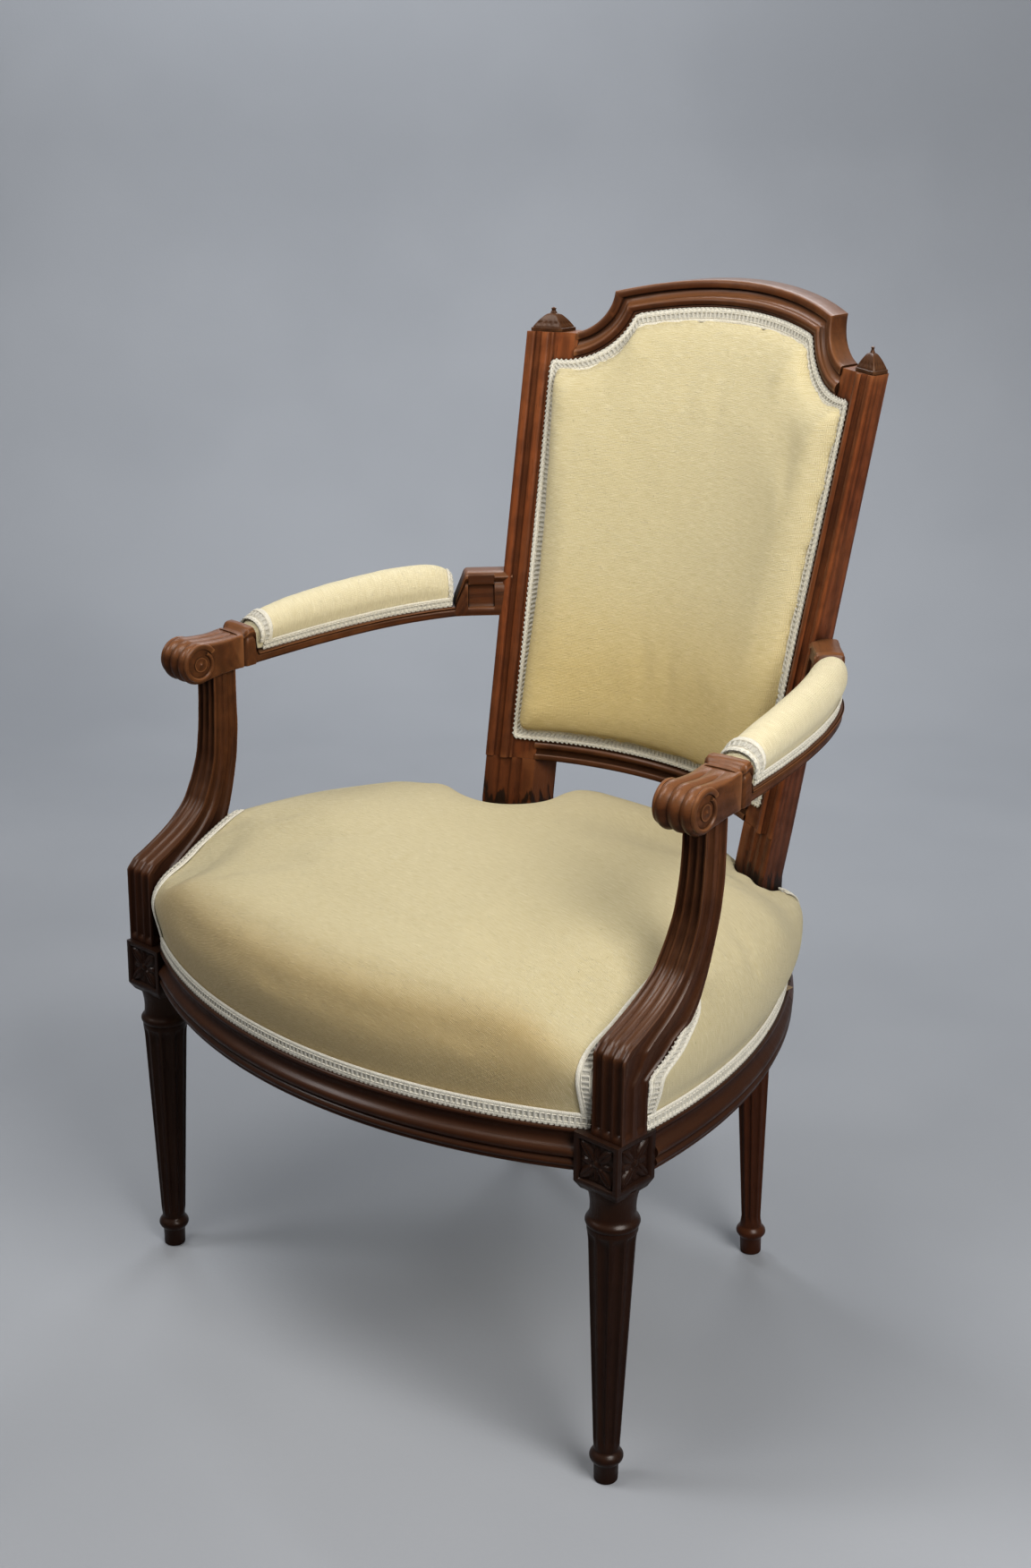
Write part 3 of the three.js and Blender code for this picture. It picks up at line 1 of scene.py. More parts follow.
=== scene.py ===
# %% [markdown]
# # An old walnut armchair with fixed upholstery
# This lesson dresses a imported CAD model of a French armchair: a moulded and carved walnut
# frame, a stuffed seat and back, two arm pads and the braid that hides the edges of the
# cloth. The CAD model is the fixed frame. Every piece made here goes where the CAD says, in
# metres, with +Z up and the sitter looking along -Y.

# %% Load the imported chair
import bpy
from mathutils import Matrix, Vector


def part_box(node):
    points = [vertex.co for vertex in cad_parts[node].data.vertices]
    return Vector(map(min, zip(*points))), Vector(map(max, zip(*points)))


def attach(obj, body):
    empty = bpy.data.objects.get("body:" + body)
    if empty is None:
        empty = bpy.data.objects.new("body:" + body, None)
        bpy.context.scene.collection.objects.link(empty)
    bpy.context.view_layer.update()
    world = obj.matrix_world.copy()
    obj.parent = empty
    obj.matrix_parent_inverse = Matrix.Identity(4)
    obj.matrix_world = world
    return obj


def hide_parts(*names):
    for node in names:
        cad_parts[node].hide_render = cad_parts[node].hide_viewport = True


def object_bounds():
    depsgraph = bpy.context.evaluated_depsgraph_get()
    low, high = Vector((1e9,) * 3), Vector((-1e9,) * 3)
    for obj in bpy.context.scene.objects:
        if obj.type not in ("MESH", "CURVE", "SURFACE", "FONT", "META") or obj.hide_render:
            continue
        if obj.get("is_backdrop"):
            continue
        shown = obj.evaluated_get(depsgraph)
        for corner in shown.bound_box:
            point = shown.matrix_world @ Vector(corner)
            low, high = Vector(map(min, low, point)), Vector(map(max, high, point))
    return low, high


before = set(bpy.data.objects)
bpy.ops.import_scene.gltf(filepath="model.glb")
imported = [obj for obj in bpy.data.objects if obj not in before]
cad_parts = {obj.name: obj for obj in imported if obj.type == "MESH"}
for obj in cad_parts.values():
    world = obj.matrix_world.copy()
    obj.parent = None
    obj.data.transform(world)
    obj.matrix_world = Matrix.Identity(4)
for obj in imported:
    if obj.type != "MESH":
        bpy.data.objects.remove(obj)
cad_box = [list(corner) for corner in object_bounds()]

import math

import bmesh
import bpy
import numpy as np
from mathutils import Matrix, Vector
from mathutils.bvhtree import BVHTree

print("CAD box, m:", cad_box)

# %% [markdown]
# ## The drawing's own frame
# All lengths below are millimetres in the drawing of the chair, whose origin lies between
# the legs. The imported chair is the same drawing, in metres and moved a little along Y, so
# that its footprint is centred. One number, read from the block of a front leg, ties the two
# together, and only the last step of making a mesh uses it.

# %% Millimetres of the drawing to metres of the frame
MM = 0.001
LEG_SPREAD, LEG_FORWARD = 272, 238.5
BLOCK_WIDTH, BLOCK_DEPTH, BLOCK_HEIGHT = 44, 47, 49
drawing_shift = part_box("front_leg_right")[0][1] / MM + LEG_FORWARD + BLOCK_DEPTH / 2


def to_frame(points):
    return (np.asarray(points, float) + (0, drawing_shift, 0)) * MM


def to_drawing(points):
    return np.asarray(points, float) / MM - (0, drawing_shift, 0)


print("shift of the drawing along Y, mm:", round(drawing_shift, 3))

# %% [markdown]
# ## Skins, sections and pieces
# Nearly every wooden part is a section that travels along a path: a moulding along a rail, a
# turned outline round an axis, a grooved square that sweeps up to an arm. So the main tool is
# a loft through rings of points. While it lofts, it also notes where each point lies in the
# plank: two distances across the grain and one along it. The wood's material reads that
# note, so the grain follows each part as it would if the part was sawn from one board.


# %% A loft that remembers the grain
def unit(vector):
    vector = np.asarray(vector, float)
    return vector / max(np.linalg.norm(vector), 1e-9)


def unit_rows(vectors):
    return vectors / np.linalg.norm(vectors, axis=1, keepdims=True)


def travel_along(points):
    """Distance travelled at each point of a line."""
    return np.r_[0, np.cumsum(np.linalg.norm(np.diff(points, axis=0), axis=1))]


def round_angles(count):
    return np.arange(count) / count * math.tau


def along_path(middles, loop=False):
    if loop:
        return np.roll(middles, -1, 0) - np.roll(middles, 1, 0)
    return np.gradient(middles, axis=0)


def loft(rings, loop=False, board=(0, 0, 0)):
    """Points, faces and grain notes of a skin through closed rings of equal count."""
    rings = np.asarray(rings, float)
    rows, sides, _ = rings.shape
    middles = rings.mean(1)
    lengths = travel_along(middles)
    notes = np.empty_like(rings)
    for row, heading in enumerate(along_path(middles, loop)):
        heading = unit(heading)
        upright = (0, 0, 1) if abs(heading[2]) < 0.8 else (0, 1, 0)
        aside = unit(np.cross(heading, upright))
        other = np.cross(aside, heading)
        away = rings[row] - middles[row]
        notes[row] = np.c_[away @ aside, away @ other, away @ heading + lengths[row]] + board
    faces = []
    for row in range(rows if loop else rows - 1):
        a, b = row * sides, (row + 1) % rows * sides
        faces += [(a + k, a + (k + 1) % sides, b + (k + 1) % sides, b + k) for k in range(sides)]
    if not loop:
        faces.append(tuple(range(sides)))
        faces.append(tuple(range((rows - 1) * sides, rows * sides)))
    return rings.reshape(-1, 3), faces, notes.reshape(-1, 3)


def mirror(skin, board=(400, 0, 0)):
    """The same skin for the other side of the chair, from another board."""
    points, faces, notes = skin
    return points * (-1, 1, 1), faces, notes * (-1, 1, 1) + board


# %% Curved section lines
def section_line(stretches, steps=5):
    """A line through (a, b, bulge) points. The bulge swells the stretch that follows, or
    hollows it where it is negative, as a share of the stretch's length."""
    line = []
    for (a, b, bulge), (c, d, _) in zip(stretches, stretches[1:]):
        middle = ((a + c) / 2 - (d - b) * bulge, (b + d) / 2 + (c - a) * bulge)
        count = steps if bulge else 1
        for t in np.arange(count) / count:
            s = 1 - t
            line.append((
                s * s * a + 2 * s * t * middle[0] + t * t * c,
                s * s * b + 2 * s * t * middle[1] + t * t * d,
            ))
    line.append(stretches[-1][:2])
    return np.array(line)


def smooth_step(value, low, high):
    t = np.clip((np.asarray(value, float) - low) / (high - low), 0, 1)
    return t * t * (3 - 2 * t)


def between(value, low, risen, high, fallen):
    """A smooth plateau: it rises from low to risen and falls from high to fallen."""
    return smooth_step(value, low, risen) * (1 - smooth_step(value, high, fallen))


def blend(a, b, share):
    return a + (b - a) * share


# %% From skins to a Blender object
def linked_object(name, data):
    obj = bpy.data.objects.new(name, data)
    bpy.context.scene.collection.objects.link(obj)
    return obj


def write_vectors(mesh, label, values, domain="POINT"):
    """Note one vector for each point or each face of a mesh."""
    attribute = mesh.attributes.new(label, "FLOAT_VECTOR", domain)
    attribute.data.foreach_set("vector", np.asarray(values, np.float32).ravel())


def mesh_object(name, skins):
    """One object with the skins' points, faces and grain notes, faces outwards."""
    points, faces, notes, start = [], [], [], 0
    for skin_points, skin_faces, skin_notes in skins:
        points.append(to_frame(skin_points))
        notes.append(np.asarray(skin_notes) * MM)
        faces += [tuple(start + k for k in face) for face in skin_faces]
        start += len(skin_points)
    mesh = bpy.data.meshes.new(name)
    mesh.from_pydata(np.concatenate(points).tolist(), [], faces)
    write_vectors(mesh, "grain", np.concatenate(notes))
    tidy_mesh(mesh)
    return linked_object(name, mesh)


def tidy_mesh(mesh, weld=2e-5):
    work = bmesh.new()
    work.from_mesh(mesh)
    bmesh.ops.remove_doubles(work, verts=work.verts, dist=weld)
    bmesh.ops.recalc_face_normals(work, faces=work.faces)
    work.to_mesh(mesh)
    work.free()


WOOD_ANGLE, CLOTH_ANGLE, BRAID_ANGLE = 35, 60, 50
SIDES = (("right", False), ("left", True))


def finish_piece(obj, material, nodes, sharp=WOOD_ANGLE):
    """Shade a piece, give it its finish and tie it to the frame. Edges that turn by more than
    the sharp angle stay crisp."""
    mesh = obj.data
    kinds = [polygon.material_index for polygon in mesh.polygons]
    mesh.materials.clear()
    for finish in material if isinstance(material, tuple) else (material,):
        mesh.materials.append(finish)
    mesh.polygons.foreach_set("material_index", kinds)
    mesh.shade_smooth()
    mesh.set_sharp_from_angle(angle=math.radians(sharp))
    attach(obj, "root")
    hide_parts(*nodes)
    print(obj.name, len(mesh.polygons), "faces")


def finish_pair(name, skins, material, node):
    """The same wooden piece on both sides of the chair."""
    for side, flipped in SIDES:
        parts = [mirror(skin) for skin in skins] if flipped else skins
        finish_piece(mesh_object(f"{name}_{side}", parts), material, [f"{node}_{side}"])


# %% [markdown]
# ## Shader groups
# Four effects are used by more than one finish, so each is a node group: the grain of wood,
# the wear on edges with dirt and painted shade in recesses, the weave of threads, and cloudy
# patches of age.
# A group gives out masks and heights only. The Principled shader stays in each material.


# %% A small writer of node trees
class Nodes:
    def __init__(self, tree):
        self.tree = tree

    def add(self, kind, *values, **settings):
        """A node with its inputs given in order, as sockets or plain values."""
        node = self.tree.nodes.new(kind)
        for key, value in settings.items():
            setattr(node, key, value)
        for socket, value in zip([s for s in node.inputs if s.enabled], values):
            self.give(socket, value)
        return node

    def wire(self, node, **inputs):
        for label, value in inputs.items():
            self.give(node.inputs[label.replace("_", " ")], value)
        return node

    def give(self, socket, value):
        if isinstance(value, bpy.types.NodeSocket):
            self.tree.links.new(value, socket)
        elif value is not None:
            socket.default_value = value

    def math(self, operation, *values):
        return self.add("ShaderNodeMath", *values, operation=operation).outputs[0]

    def times(self, a, b):
        return self.math("MULTIPLY", a, b)

    def plus(self, a, b):
        return self.math("ADD", a, b)

    def stretch(self, place, by):
        return self.add("ShaderNodeVectorMath", place, by, operation="MULTIPLY").outputs[0]

    def split(self, vector):
        return self.add("ShaderNodeSeparateXYZ", vector).outputs

    def shift(self, place, by):
        return self.add("ShaderNodeVectorMath", place, by, operation="ADD").outputs[0]

    def noise(self, place, scale, detail):
        return self.wire(self.add("ShaderNodeTexNoise"), Vector=place, Scale=scale,
                         Detail=detail, Roughness=0.55).outputs[0]

    def ramp(self, value, low, high, to_low=0.0, to_high=1.0):
        node = self.add("ShaderNodeMapRange", value, low, high, to_low, to_high)
        node.interpolation_type = "SMOOTHSTEP"
        return node.outputs[0]

    def mix(self, share, a, b, kind="MIX"):
        node = self.add("ShaderNodeMix", data_type="RGBA", blend_type=kind)
        for socket, value in zip((node.inputs[0], node.inputs[6], node.inputs[7]), (share, a, b)):
            self.give(socket, value)
        return node.outputs[2]


def new_group(name, inputs, outputs, kind="ShaderNodeTree"):
    """A new group. Each of its sockets is given as a label, a kind and a first value."""
    tree = bpy.data.node_groups.new(name, kind)
    for way, sockets in (("INPUT", inputs), ("OUTPUT", outputs)):
        for label, socket_kind, value in sockets:
            made = tree.interface.new_socket(label, in_out=way, socket_type=socket_kind)
            if value is not None:
                made.default_value = value
    return Nodes(tree), tree.nodes.new("NodeGroupInput"), tree.nodes.new("NodeGroupOutput")


def close_group(nodes, result, **outputs):
    nodes.wire(result, **outputs)
    return nodes.tree


FLOAT, VECTOR = "NodeSocketFloat", "NodeSocketVector"

# %% Grain of wood
wood, given, result = new_group(
    "Grain of wood",
    [("Place", VECTOR, None), ("Ring width", FLOAT, 0.007), ("Figure", FLOAT, 1.0)],
    [("Rings", FLOAT, None), ("Pores", FLOAT, None), ("Height", FLOAT, None)],
)
place = given.outputs["Place"]
stretched = wood.stretch(place, (1.0, 1.0, 0.09))
swirl = wood.times(wood.math("SUBTRACT", wood.noise(stretched, 22.0, 2.0), 0.5), 0.05)
split = wood.split(stretched)
heart = wood.add("ShaderNodeCombineXYZ", wood.plus(split[0], 0.035), split[1], 0.0)
reach = wood.add("ShaderNodeVectorMath", heart.outputs[0], operation="LENGTH").outputs["Value"]
turned_rings = wood.math(
    "DIVIDE", wood.plus(reach, wood.times(swirl, given.outputs["Figure"])),
    given.outputs["Ring width"])
wave = wood.math("SINE", wood.times(turned_rings, math.tau))
fine = wood.noise(wood.stretch(place, (1.0, 1.0, 0.03)), 1500.0, 2.0)
pores = wood.ramp(fine, 0.42, 0.30)
lines = wood.noise(wood.stretch(place, (1.0, 1.0, 0.02)), 420.0, 2.0)
grain_group = close_group(
    wood, result, Rings=wood.times(wood.plus(wood.ramp(wave, -0.9, 1.0), lines), 0.5),
    Pores=pores, Height=wood.plus(wood.times(pores, -0.6), wood.times(lines, 0.5)))

# %% Wear on edges, dirt and painted shade in recesses
wear, given, result = new_group(
    "Wear, dirt and painted shade",
    [("Place", VECTOR, None), ("Edge", FLOAT, 0.53), ("Depth", FLOAT, 0.012)],
    [("Worn", FLOAT, None), ("Dirt", FLOAT, None)],
)
pointed = wear.add("ShaderNodeNewGeometry").outputs["Pointiness"]
patchy = wear.noise(given.outputs["Place"], 55.0, 4.0)
edge = wear.ramp(
    wear.plus(pointed, wear.times(wear.math("SUBTRACT", patchy, 0.5), 0.05)),
    given.outputs["Edge"], wear.plus(given.outputs["Edge"], 0.07))
# Occlusion and concave places darken the recesses: painted shade, together with real dirt in them.
hollow = wear.wire(
    wear.add("ShaderNodeAmbientOcclusion", samples=6), Distance=given.outputs["Depth"])
shade = wear.ramp(hollow.outputs["AO"], 0.88, 0.45)
pit = wear.ramp(pointed, 0.49, 0.42)
wear_group = close_group(
    wear, result, Worn=edge, Dirt=wear.math("MAXIMUM", wear.times(shade, 0.9), pit))

# %% Threads of a plain weave
weave, given, result = new_group(
    "Threads of a weave",
    [("Place", VECTOR, None), ("Thread", FLOAT, 0.0011), ("Slubs", FLOAT, 1.0)],
    [("Height", FLOAT, None), ("Shade", FLOAT, None), ("Slub", FLOAT, None)],
)
wobble = weave.noise(given.outputs["Place"], 90.0, 2.0)
shifted = weave.shift(given.outputs["Place"], weave.add(
    "ShaderNodeCombineXYZ", weave.times(wobble, 0.0016), weave.times(wobble, 0.0012),
    0.0).outputs[0])
split = weave.split(shifted)
per_thread = weave.math("DIVIDE", math.pi, given.outputs["Thread"])
across, along = (weave.times(split[k], per_thread) for k in (0, 1))
warp, weft = (weave.math("ABSOLUTE", weave.math("SINE", way)) for way in (across, along))
over = weave.times(*(weave.math("SINE", weave.times(way, 0.5)) for way in (across, along)))
crossing = weave.ramp(over, -0.5, 0.5)
threads = weave.plus(weave.times(warp, crossing),
                     weave.times(weft, weave.math("SUBTRACT", 1.0, crossing)))
thick_weft = weave.noise(weave.stretch(shifted, (0.10, 1.0, 1.0)), 900.0, 2.0)
thick_warp = weave.noise(weave.stretch(shifted, (1.0, 0.12, 1.0)), 700.0, 2.0)
slub = weave.plus(weave.times(weave.ramp(thick_weft, 0.56, 0.75), given.outputs["Slubs"]),
                  weave.times(weave.ramp(thick_warp, 0.62, 0.78), given.outputs["Slubs"]))
weave_group = close_group(
    weave, result, Height=weave.plus(threads, weave.times(slub, 0.9)), Slub=slub,
    Shade=weave.plus(weave.times(threads, 0.6),
                     weave.times(weave.math("SUBTRACT", thick_weft, 0.5), 1.2)))

# %% Cloudy patches of age
cloud, given, result = new_group(
    "Patches of age",
    [("Place", VECTOR, None), ("Size", FLOAT, 6.0)],
    [("Broad", FLOAT, None), ("Small", FLOAT, None)],
)
place, scale = given.outputs["Place"], given.outputs["Size"]
age_group = close_group(
    cloud, result, Broad=cloud.ramp(cloud.noise(place, scale, 4.0), 0.35, 0.68),
    Small=cloud.ramp(cloud.noise(place, cloud.times(scale, 9.0), 4.0), 0.38, 0.66))
print("shader groups:", [group.name for group in bpy.data.node_groups])

# %% [markdown]
# ## Finishes
# The wood is walnut that has been waxed for two centuries: a red brown body, near black in
# the quirks of the mouldings from dirt and painted shade, rubbed to a lighter orange brown on
# the edges that hands and clothes touch. Faces that look up are painted lighter, a painted top
# light, and wood low down darker, a painted shade. The cover is a cream cloth with thick and
# thin threads, and the braid is a whiter cotton. The cloth of the back and of the pads is
# painted lighter, the seat's front border and the foot of the back are painted darker as
# shade, and the braid's ground is painted darker as shade between its stitches. Below, jute
# webbing and hessian show. Each finish is one function of nodes.


# %% Start of a material
def new_material(name):
    material = bpy.data.materials.new(name)
    material.use_nodes = True
    nodes = Nodes(material.node_tree)
    shader = material.node_tree.nodes["Principled BSDF"]
    return material, nodes, shader


def group_node(nodes, group, **values):
    return nodes.wire(nodes.add("ShaderNodeGroup", node_tree=group), **values).outputs


def noted_place(nodes, attribute):
    return nodes.add("ShaderNodeAttribute", attribute_name=attribute).outputs["Vector"]


def object_place(nodes):
    return nodes.add("ShaderNodeTexCoord").outputs["Object"]


def bump(nodes, shader, height, distance, strength=1.0):
    node = nodes.wire(
        nodes.add("ShaderNodeBump"), Strength=strength, Distance=distance, Height=height)
    nodes.wire(shader, Normal=node.outputs[0])


# %% Waxed walnut
# ALMOST_BLACK is the tint of the dirt and painted shade in recesses.
ALMOST_BLACK, PORE_BLACK, STAIN_BLACK = (
    (0.006, 0.0025, 0.0015, 1), (0.005, 0.002, 0.001, 1), (0.006, 0.004, 0.003, 1))


def walnut_finish(name, body, dark, rubbed, painted_top_light=0.5, stain=False, low=0.85):
    """Faces that look up are painted lighter, a painted top light, and wood low down darker, a
    painted shade.
    """
    material, nodes, shader = new_material(name)
    spot = object_place(nodes)
    grain = group_node(nodes, grain_group, Place=noted_place(nodes, "grain"), Ring_width=0.009)
    worn = group_node(nodes, wear_group, Place=spot, Edge=0.530, Depth=0.016)
    aged = group_node(nodes, age_group, Place=spot, Size=7.0)
    facing = nodes.split(nodes.add("ShaderNodeNewGeometry").outputs["Normal"])
    height = nodes.split(spot)[2]
    # lit is how far a face looks up: its colour is mixed towards the rubbed tint, a painted top
    # light, and it also weights the coat.
    lit = nodes.ramp(facing[2], 0.08, 0.80)
    colour = nodes.mix(nodes.times(nodes.ramp(grain["Rings"], 0.15, 0.95), 0.62), body, dark)
    for mask, share, tint in (
        (aged["Broad"], 0.22, rubbed), (aged["Small"], 0.34, dark), (lit, painted_top_light, rubbed),
        (grain["Pores"], 0.5, PORE_BLACK), (worn["Worn"], 0.55, rubbed),
        # Recesses take the dirt and painted shade mask, and the height ramp paints wood low down
        # darker, a painted shade under the seat.
        (worn["Dirt"], 0.90, ALMOST_BLACK), (nodes.ramp(height, 0.62, 0.30), low, dark),
    ):
        colour = nodes.mix(nodes.times(mask, share), colour, tint)
    if stain:
        ragged = nodes.noise(nodes.stretch(spot, (1.0, 1.0, 0.25)), 160.0, 3.0)
        edge = nodes.math("SUBTRACT", height, nodes.times(ragged, 0.09))
        mask = nodes.times(nodes.ramp(edge, 0.362, 0.350), nodes.ramp(height, 0.314, 0.318))
        mask = nodes.times(mask, nodes.ramp(facing[1], 0.1, 0.8, 0.9, 0.3))
        colour = nodes.mix(mask, colour, STAIN_BLACK)
    gloss = nodes.plus(nodes.ramp(grain["Rings"], 0.0, 1.0, 0.30, 0.38),
                       nodes.times(worn["Dirt"], 0.35))
    nodes.wire(shader, Base_Color=colour,
               Roughness=nodes.plus(gloss, nodes.times(aged["Small"], 0.10)),
               Coat_Weight=nodes.times(lit, 0.40), Coat_Roughness=0.28,
               Specular_IOR_Level=0.12, Specular_Tint=(1.0, 0.80, 0.64, 1))
    bump(nodes, shader, nodes.plus(grain["Height"], aged["Small"]), 0.00022, 0.7)
    return material


walnut = walnut_finish(
    "walnut", (0.074, 0.022, 0.007, 1), (0.018, 0.005, 0.002, 1), (0.290, 0.115, 0.042, 1))
walnut_stile = walnut_finish(
    "walnut_stile", (0.165, 0.041, 0.012, 1), (0.026, 0.007, 0.003, 1), (0.350, 0.120, 0.040, 1),
    painted_top_light=0.6, stain=True)
# A darker copy of the walnut for the legs and finials: partly a darker finish, partly painted shade
# where the legs stand under the seat.
walnut_carved = walnut_finish(
    "walnut_carved", (0.038, 0.012, 0.004, 1), (0.008, 0.002, 0.001, 1), (0.150, 0.064, 0.026, 1))
peg_wood = walnut_finish(
    "peg_wood", (0.090, 0.034, 0.015, 1), (0.035, 0.012, 0.006, 1), (0.160, 0.072, 0.032, 1))


# %% Cloth and threads
def cloth_finish(name, light, deep, thread, slubs, sheen=0.25, relief=0.00035, place="weave",
                 painted_shade_zones=(), painted_shade_tint=(1, 1, 1)):
    """Each given zone is an axis and two places: from the first to the second the cloth takes on a
    darker, warmer tint, a painted shade.
    """
    material, nodes, shader = new_material(name)
    spot = object_place(nodes)
    threads = group_node(nodes, weave_group, Place=noted_place(nodes, place) if place else spot,
                         Thread=thread, Slubs=slubs)
    aged = group_node(nodes, age_group, Place=spot, Size=5.0)
    colour = nodes.mix(nodes.ramp(threads["Shade"], 0.02, 0.80), deep, light)
    bright, fleck = ([min(by * c, 1) for c in tint[:3]] + [1]
                     for by, tint in ((1.15, light), (0.35, deep)))
    flecks = nodes.ramp(nodes.noise(spot, 420.0, 1.0), 0.735, 0.78, 0.0, 0.45)
    for mask, share, tint in (
        (threads["Slub"], 0.32, bright), (flecks, slubs, fleck), (aged["Broad"], 0.18, deep),
    ):
        colour = nodes.mix(nodes.times(mask, share), colour, tint)
    # Painted shade: between the given places the colour is multiplied by the darker, warmer tint.
    if painted_shade_zones:
        mask = 1.0
        for axis, shade_from, shade_full in painted_shade_zones:
            mask = nodes.times(nodes.ramp(nodes.split(spot)[axis], shade_from, shade_full), mask)
        colour = nodes.mix(mask, colour, (*painted_shade_tint, 1), kind="MULTIPLY")
    nodes.wire(shader, Base_Color=colour, Sheen_Weight=sheen, Sheen_Roughness=0.5,
               Roughness=nodes.ramp(threads["Height"], 0.0, 1.5, 0.92, 0.74))
    bump(nodes, shader, threads["Height"], relief)
    return material


# The seat's front border is painted darker and warmer: a painted shade where the border faces away
# from the light.
seat_cloth = cloth_finish(
    "seat_cloth", (0.680, 0.598, 0.375, 1), (0.510, 0.422, 0.212, 1), 0.0012, 1.0, 0.10,
    painted_shade_zones=((1, -0.215, -0.255), (2, 0.425, 0.390)), painted_shade_tint=(0.80, 0.69, 0.53))
# The back's cloth is a lighter copy of the seat's, a painted light, and towards its bottom, on both
# faces of the back, it is painted darker and yellower: painted shade falling off downwards, with
# some yellowing.
back_cloth = cloth_finish(
    "back_cloth", (0.745, 0.655, 0.408, 1), (0.565, 0.467, 0.233, 1), 0.0012, 1.0, 0.10,
    painted_shade_zones=((2, 0.67, 0.52),), painted_shade_tint=(0.92, 0.83, 0.62))
# The pads' cloth is a lighter copy of the same cream cloth, a painted light on the pads.
pad_cloth = cloth_finish(
    "pad_cloth", (0.850, 0.765, 0.520, 1), (0.670, 0.575, 0.335, 1), 0.0012, 1.0, 0.10)
braid_white = cloth_finish(
    "braid_white", (0.860, 0.820, 0.700, 1), (0.640, 0.595, 0.480, 1), 0.0007, 0.3,
    sheen=0.15, relief=0.0002, place=None)
# The braid's ground is a darker copy of its white cotton, a painted shade between the stitches.
braid_ground = cloth_finish(
    "braid_ground", (0.640, 0.610, 0.520, 1), (0.460, 0.435, 0.365, 1), 0.0007, 0.3,
    sheen=0.0, relief=0.0002, place=None)
jute = cloth_finish(
    "jute", (0.300, 0.205, 0.095, 1), (0.170, 0.105, 0.045, 1), 0.0022, 1.0, 0.15, 0.0006)
hessian = cloth_finish(
    "hessian", (0.330, 0.235, 0.120, 1), (0.150, 0.098, 0.045, 1), 0.0016, 1.0, 0.15, 0.0005)
print("materials:", [material.name for material in bpy.data.materials])

# %% [markdown]
# ## Seat rails
# Each rail is a curved board whose outer face carries one moulding from top to bottom: a lip,
# a deep cove, a round, a quirk, a small bead and a fillet. The rails follow arcs in plan, so
# the section is lofted along those arcs. The same arcs later place the cover and its braid.

# %% Plan arcs of the seat
def bow_radius(bulge, run):
    """Radius of an arc that bulges by so much over half its run."""
    return (bulge ** 2 + run ** 2) / (2 * bulge)


RAIL_TOP, RAIL_HEIGHT, RAIL_THICKNESS = 317, 36, 30
FRONT_REACH, FRONT_BOW = 327, bow_radius(65, 250)
SIDE_REACH, SIDE_BOW, SIDE_WIDEST = 297, bow_radius(122, 349), 215
REAR_REACH, REAR_BOW, REAR_THICKNESS = 149.5, bow_radius(15.5, 123), 28
REAR_BLOCK_INNER, REAR_BLOCK_OUTER, REAR_BLOCK_FRONT, REAR_BLOCK_BACK = 123, 172, 84, 134
JOINT = 0.3


def front_arc(x, out=0.0):
    return FRONT_BOW - FRONT_REACH - math.sqrt((FRONT_BOW + out) ** 2 - x * x)


def side_arc(y, out=0.0):
    return SIDE_REACH - SIDE_BOW + math.sqrt((SIDE_BOW + out) ** 2 - (y + SIDE_WIDEST) ** 2)


def rear_arc(x, out=0.0):
    return REAR_REACH - REAR_BOW + math.sqrt((REAR_BOW + out) ** 2 - x * x)


RAIL_MOULDING = section_line([
    (-4.2, 36.0, 0), (-3.6, 35.4, 0.25), (-3.4, 33.4, 0), (-4.6, 32.6, -0.52), (-4.2, 20.4, 0),
    (-3.2, 19.6, 0.55), (-3.2, 11.0, 0), (-4.4, 10.2, 0), (-3.0, 9.4, 0), (-2.6, 8.8, 0.5),
    (-2.6, 4.0, 0), (-3.8, 3.2, 0), (-3.6, 0.8, 0), (-4.4, 0.0, 0),
])


def rail_section():
    bottom = RAIL_TOP - RAIL_HEIGHT
    face = [(out, bottom + rise) for out, rise in RAIL_MOULDING]
    return face + [(-RAIL_THICKNESS, bottom), (-RAIL_THICKNESS, RAIL_TOP)]


# %% Front, side and rear rails
def bent_rail(section, bow, start, end, count, plan, board):
    """A section that travels along an arc from one plane to another, each point at its radius.
    plan gives x and y for the two legs of an angle on the arc."""
    rings = []
    for share in np.linspace(0, 1, count):
        ring = []
        for out, z in section:
            reach = bow + out
            angle = blend(math.asin(start / reach), math.asin(end / reach), share)
            ring.append((*plan(reach * math.sin(angle), reach * math.cos(angle)), z))
        rings.append(ring)
    return loft(rings, board=board)


def side_moulding(start_y, end_y, count):
    return bent_rail(rail_section(), SIDE_BOW, start_y + SIDE_WIDEST, end_y + SIDE_WIDEST, count,
                     lambda run, off: (SIDE_REACH - SIDE_BOW + off, run - SIDE_WIDEST), (70, 0, 0))


front_end, rear_end = LEG_SPREAD - BLOCK_WIDTH / 2 - JOINT, REAR_BLOCK_INNER - JOINT
front_rail = bent_rail(rail_section(), FRONT_BOW, -front_end, front_end, 61,
                       lambda run, off: (run, FRONT_BOW - FRONT_REACH - off), (20, 0, 0))
rail_bottom = RAIL_TOP - RAIL_HEIGHT
rear_section = section_line([
    (0, RAIL_TOP, 0), (0, rail_bottom + 1, 0), (-1, rail_bottom, 0),
    (-REAR_THICKNESS, rail_bottom, 0), (-REAR_THICKNESS, RAIL_TOP, 0),
])
rear_rail = bent_rail(rear_section, REAR_BOW, -rear_end, rear_end, 25,
                      lambda run, off: (run, REAR_REACH - REAR_BOW + off), (120, 0, 0))
finish_piece(mesh_object("front_seat_rail", [front_rail]), walnut, ["front_rail"])
finish_piece(mesh_object("rear_seat_rail", [rear_rail]), walnut, ["rear_rail"])
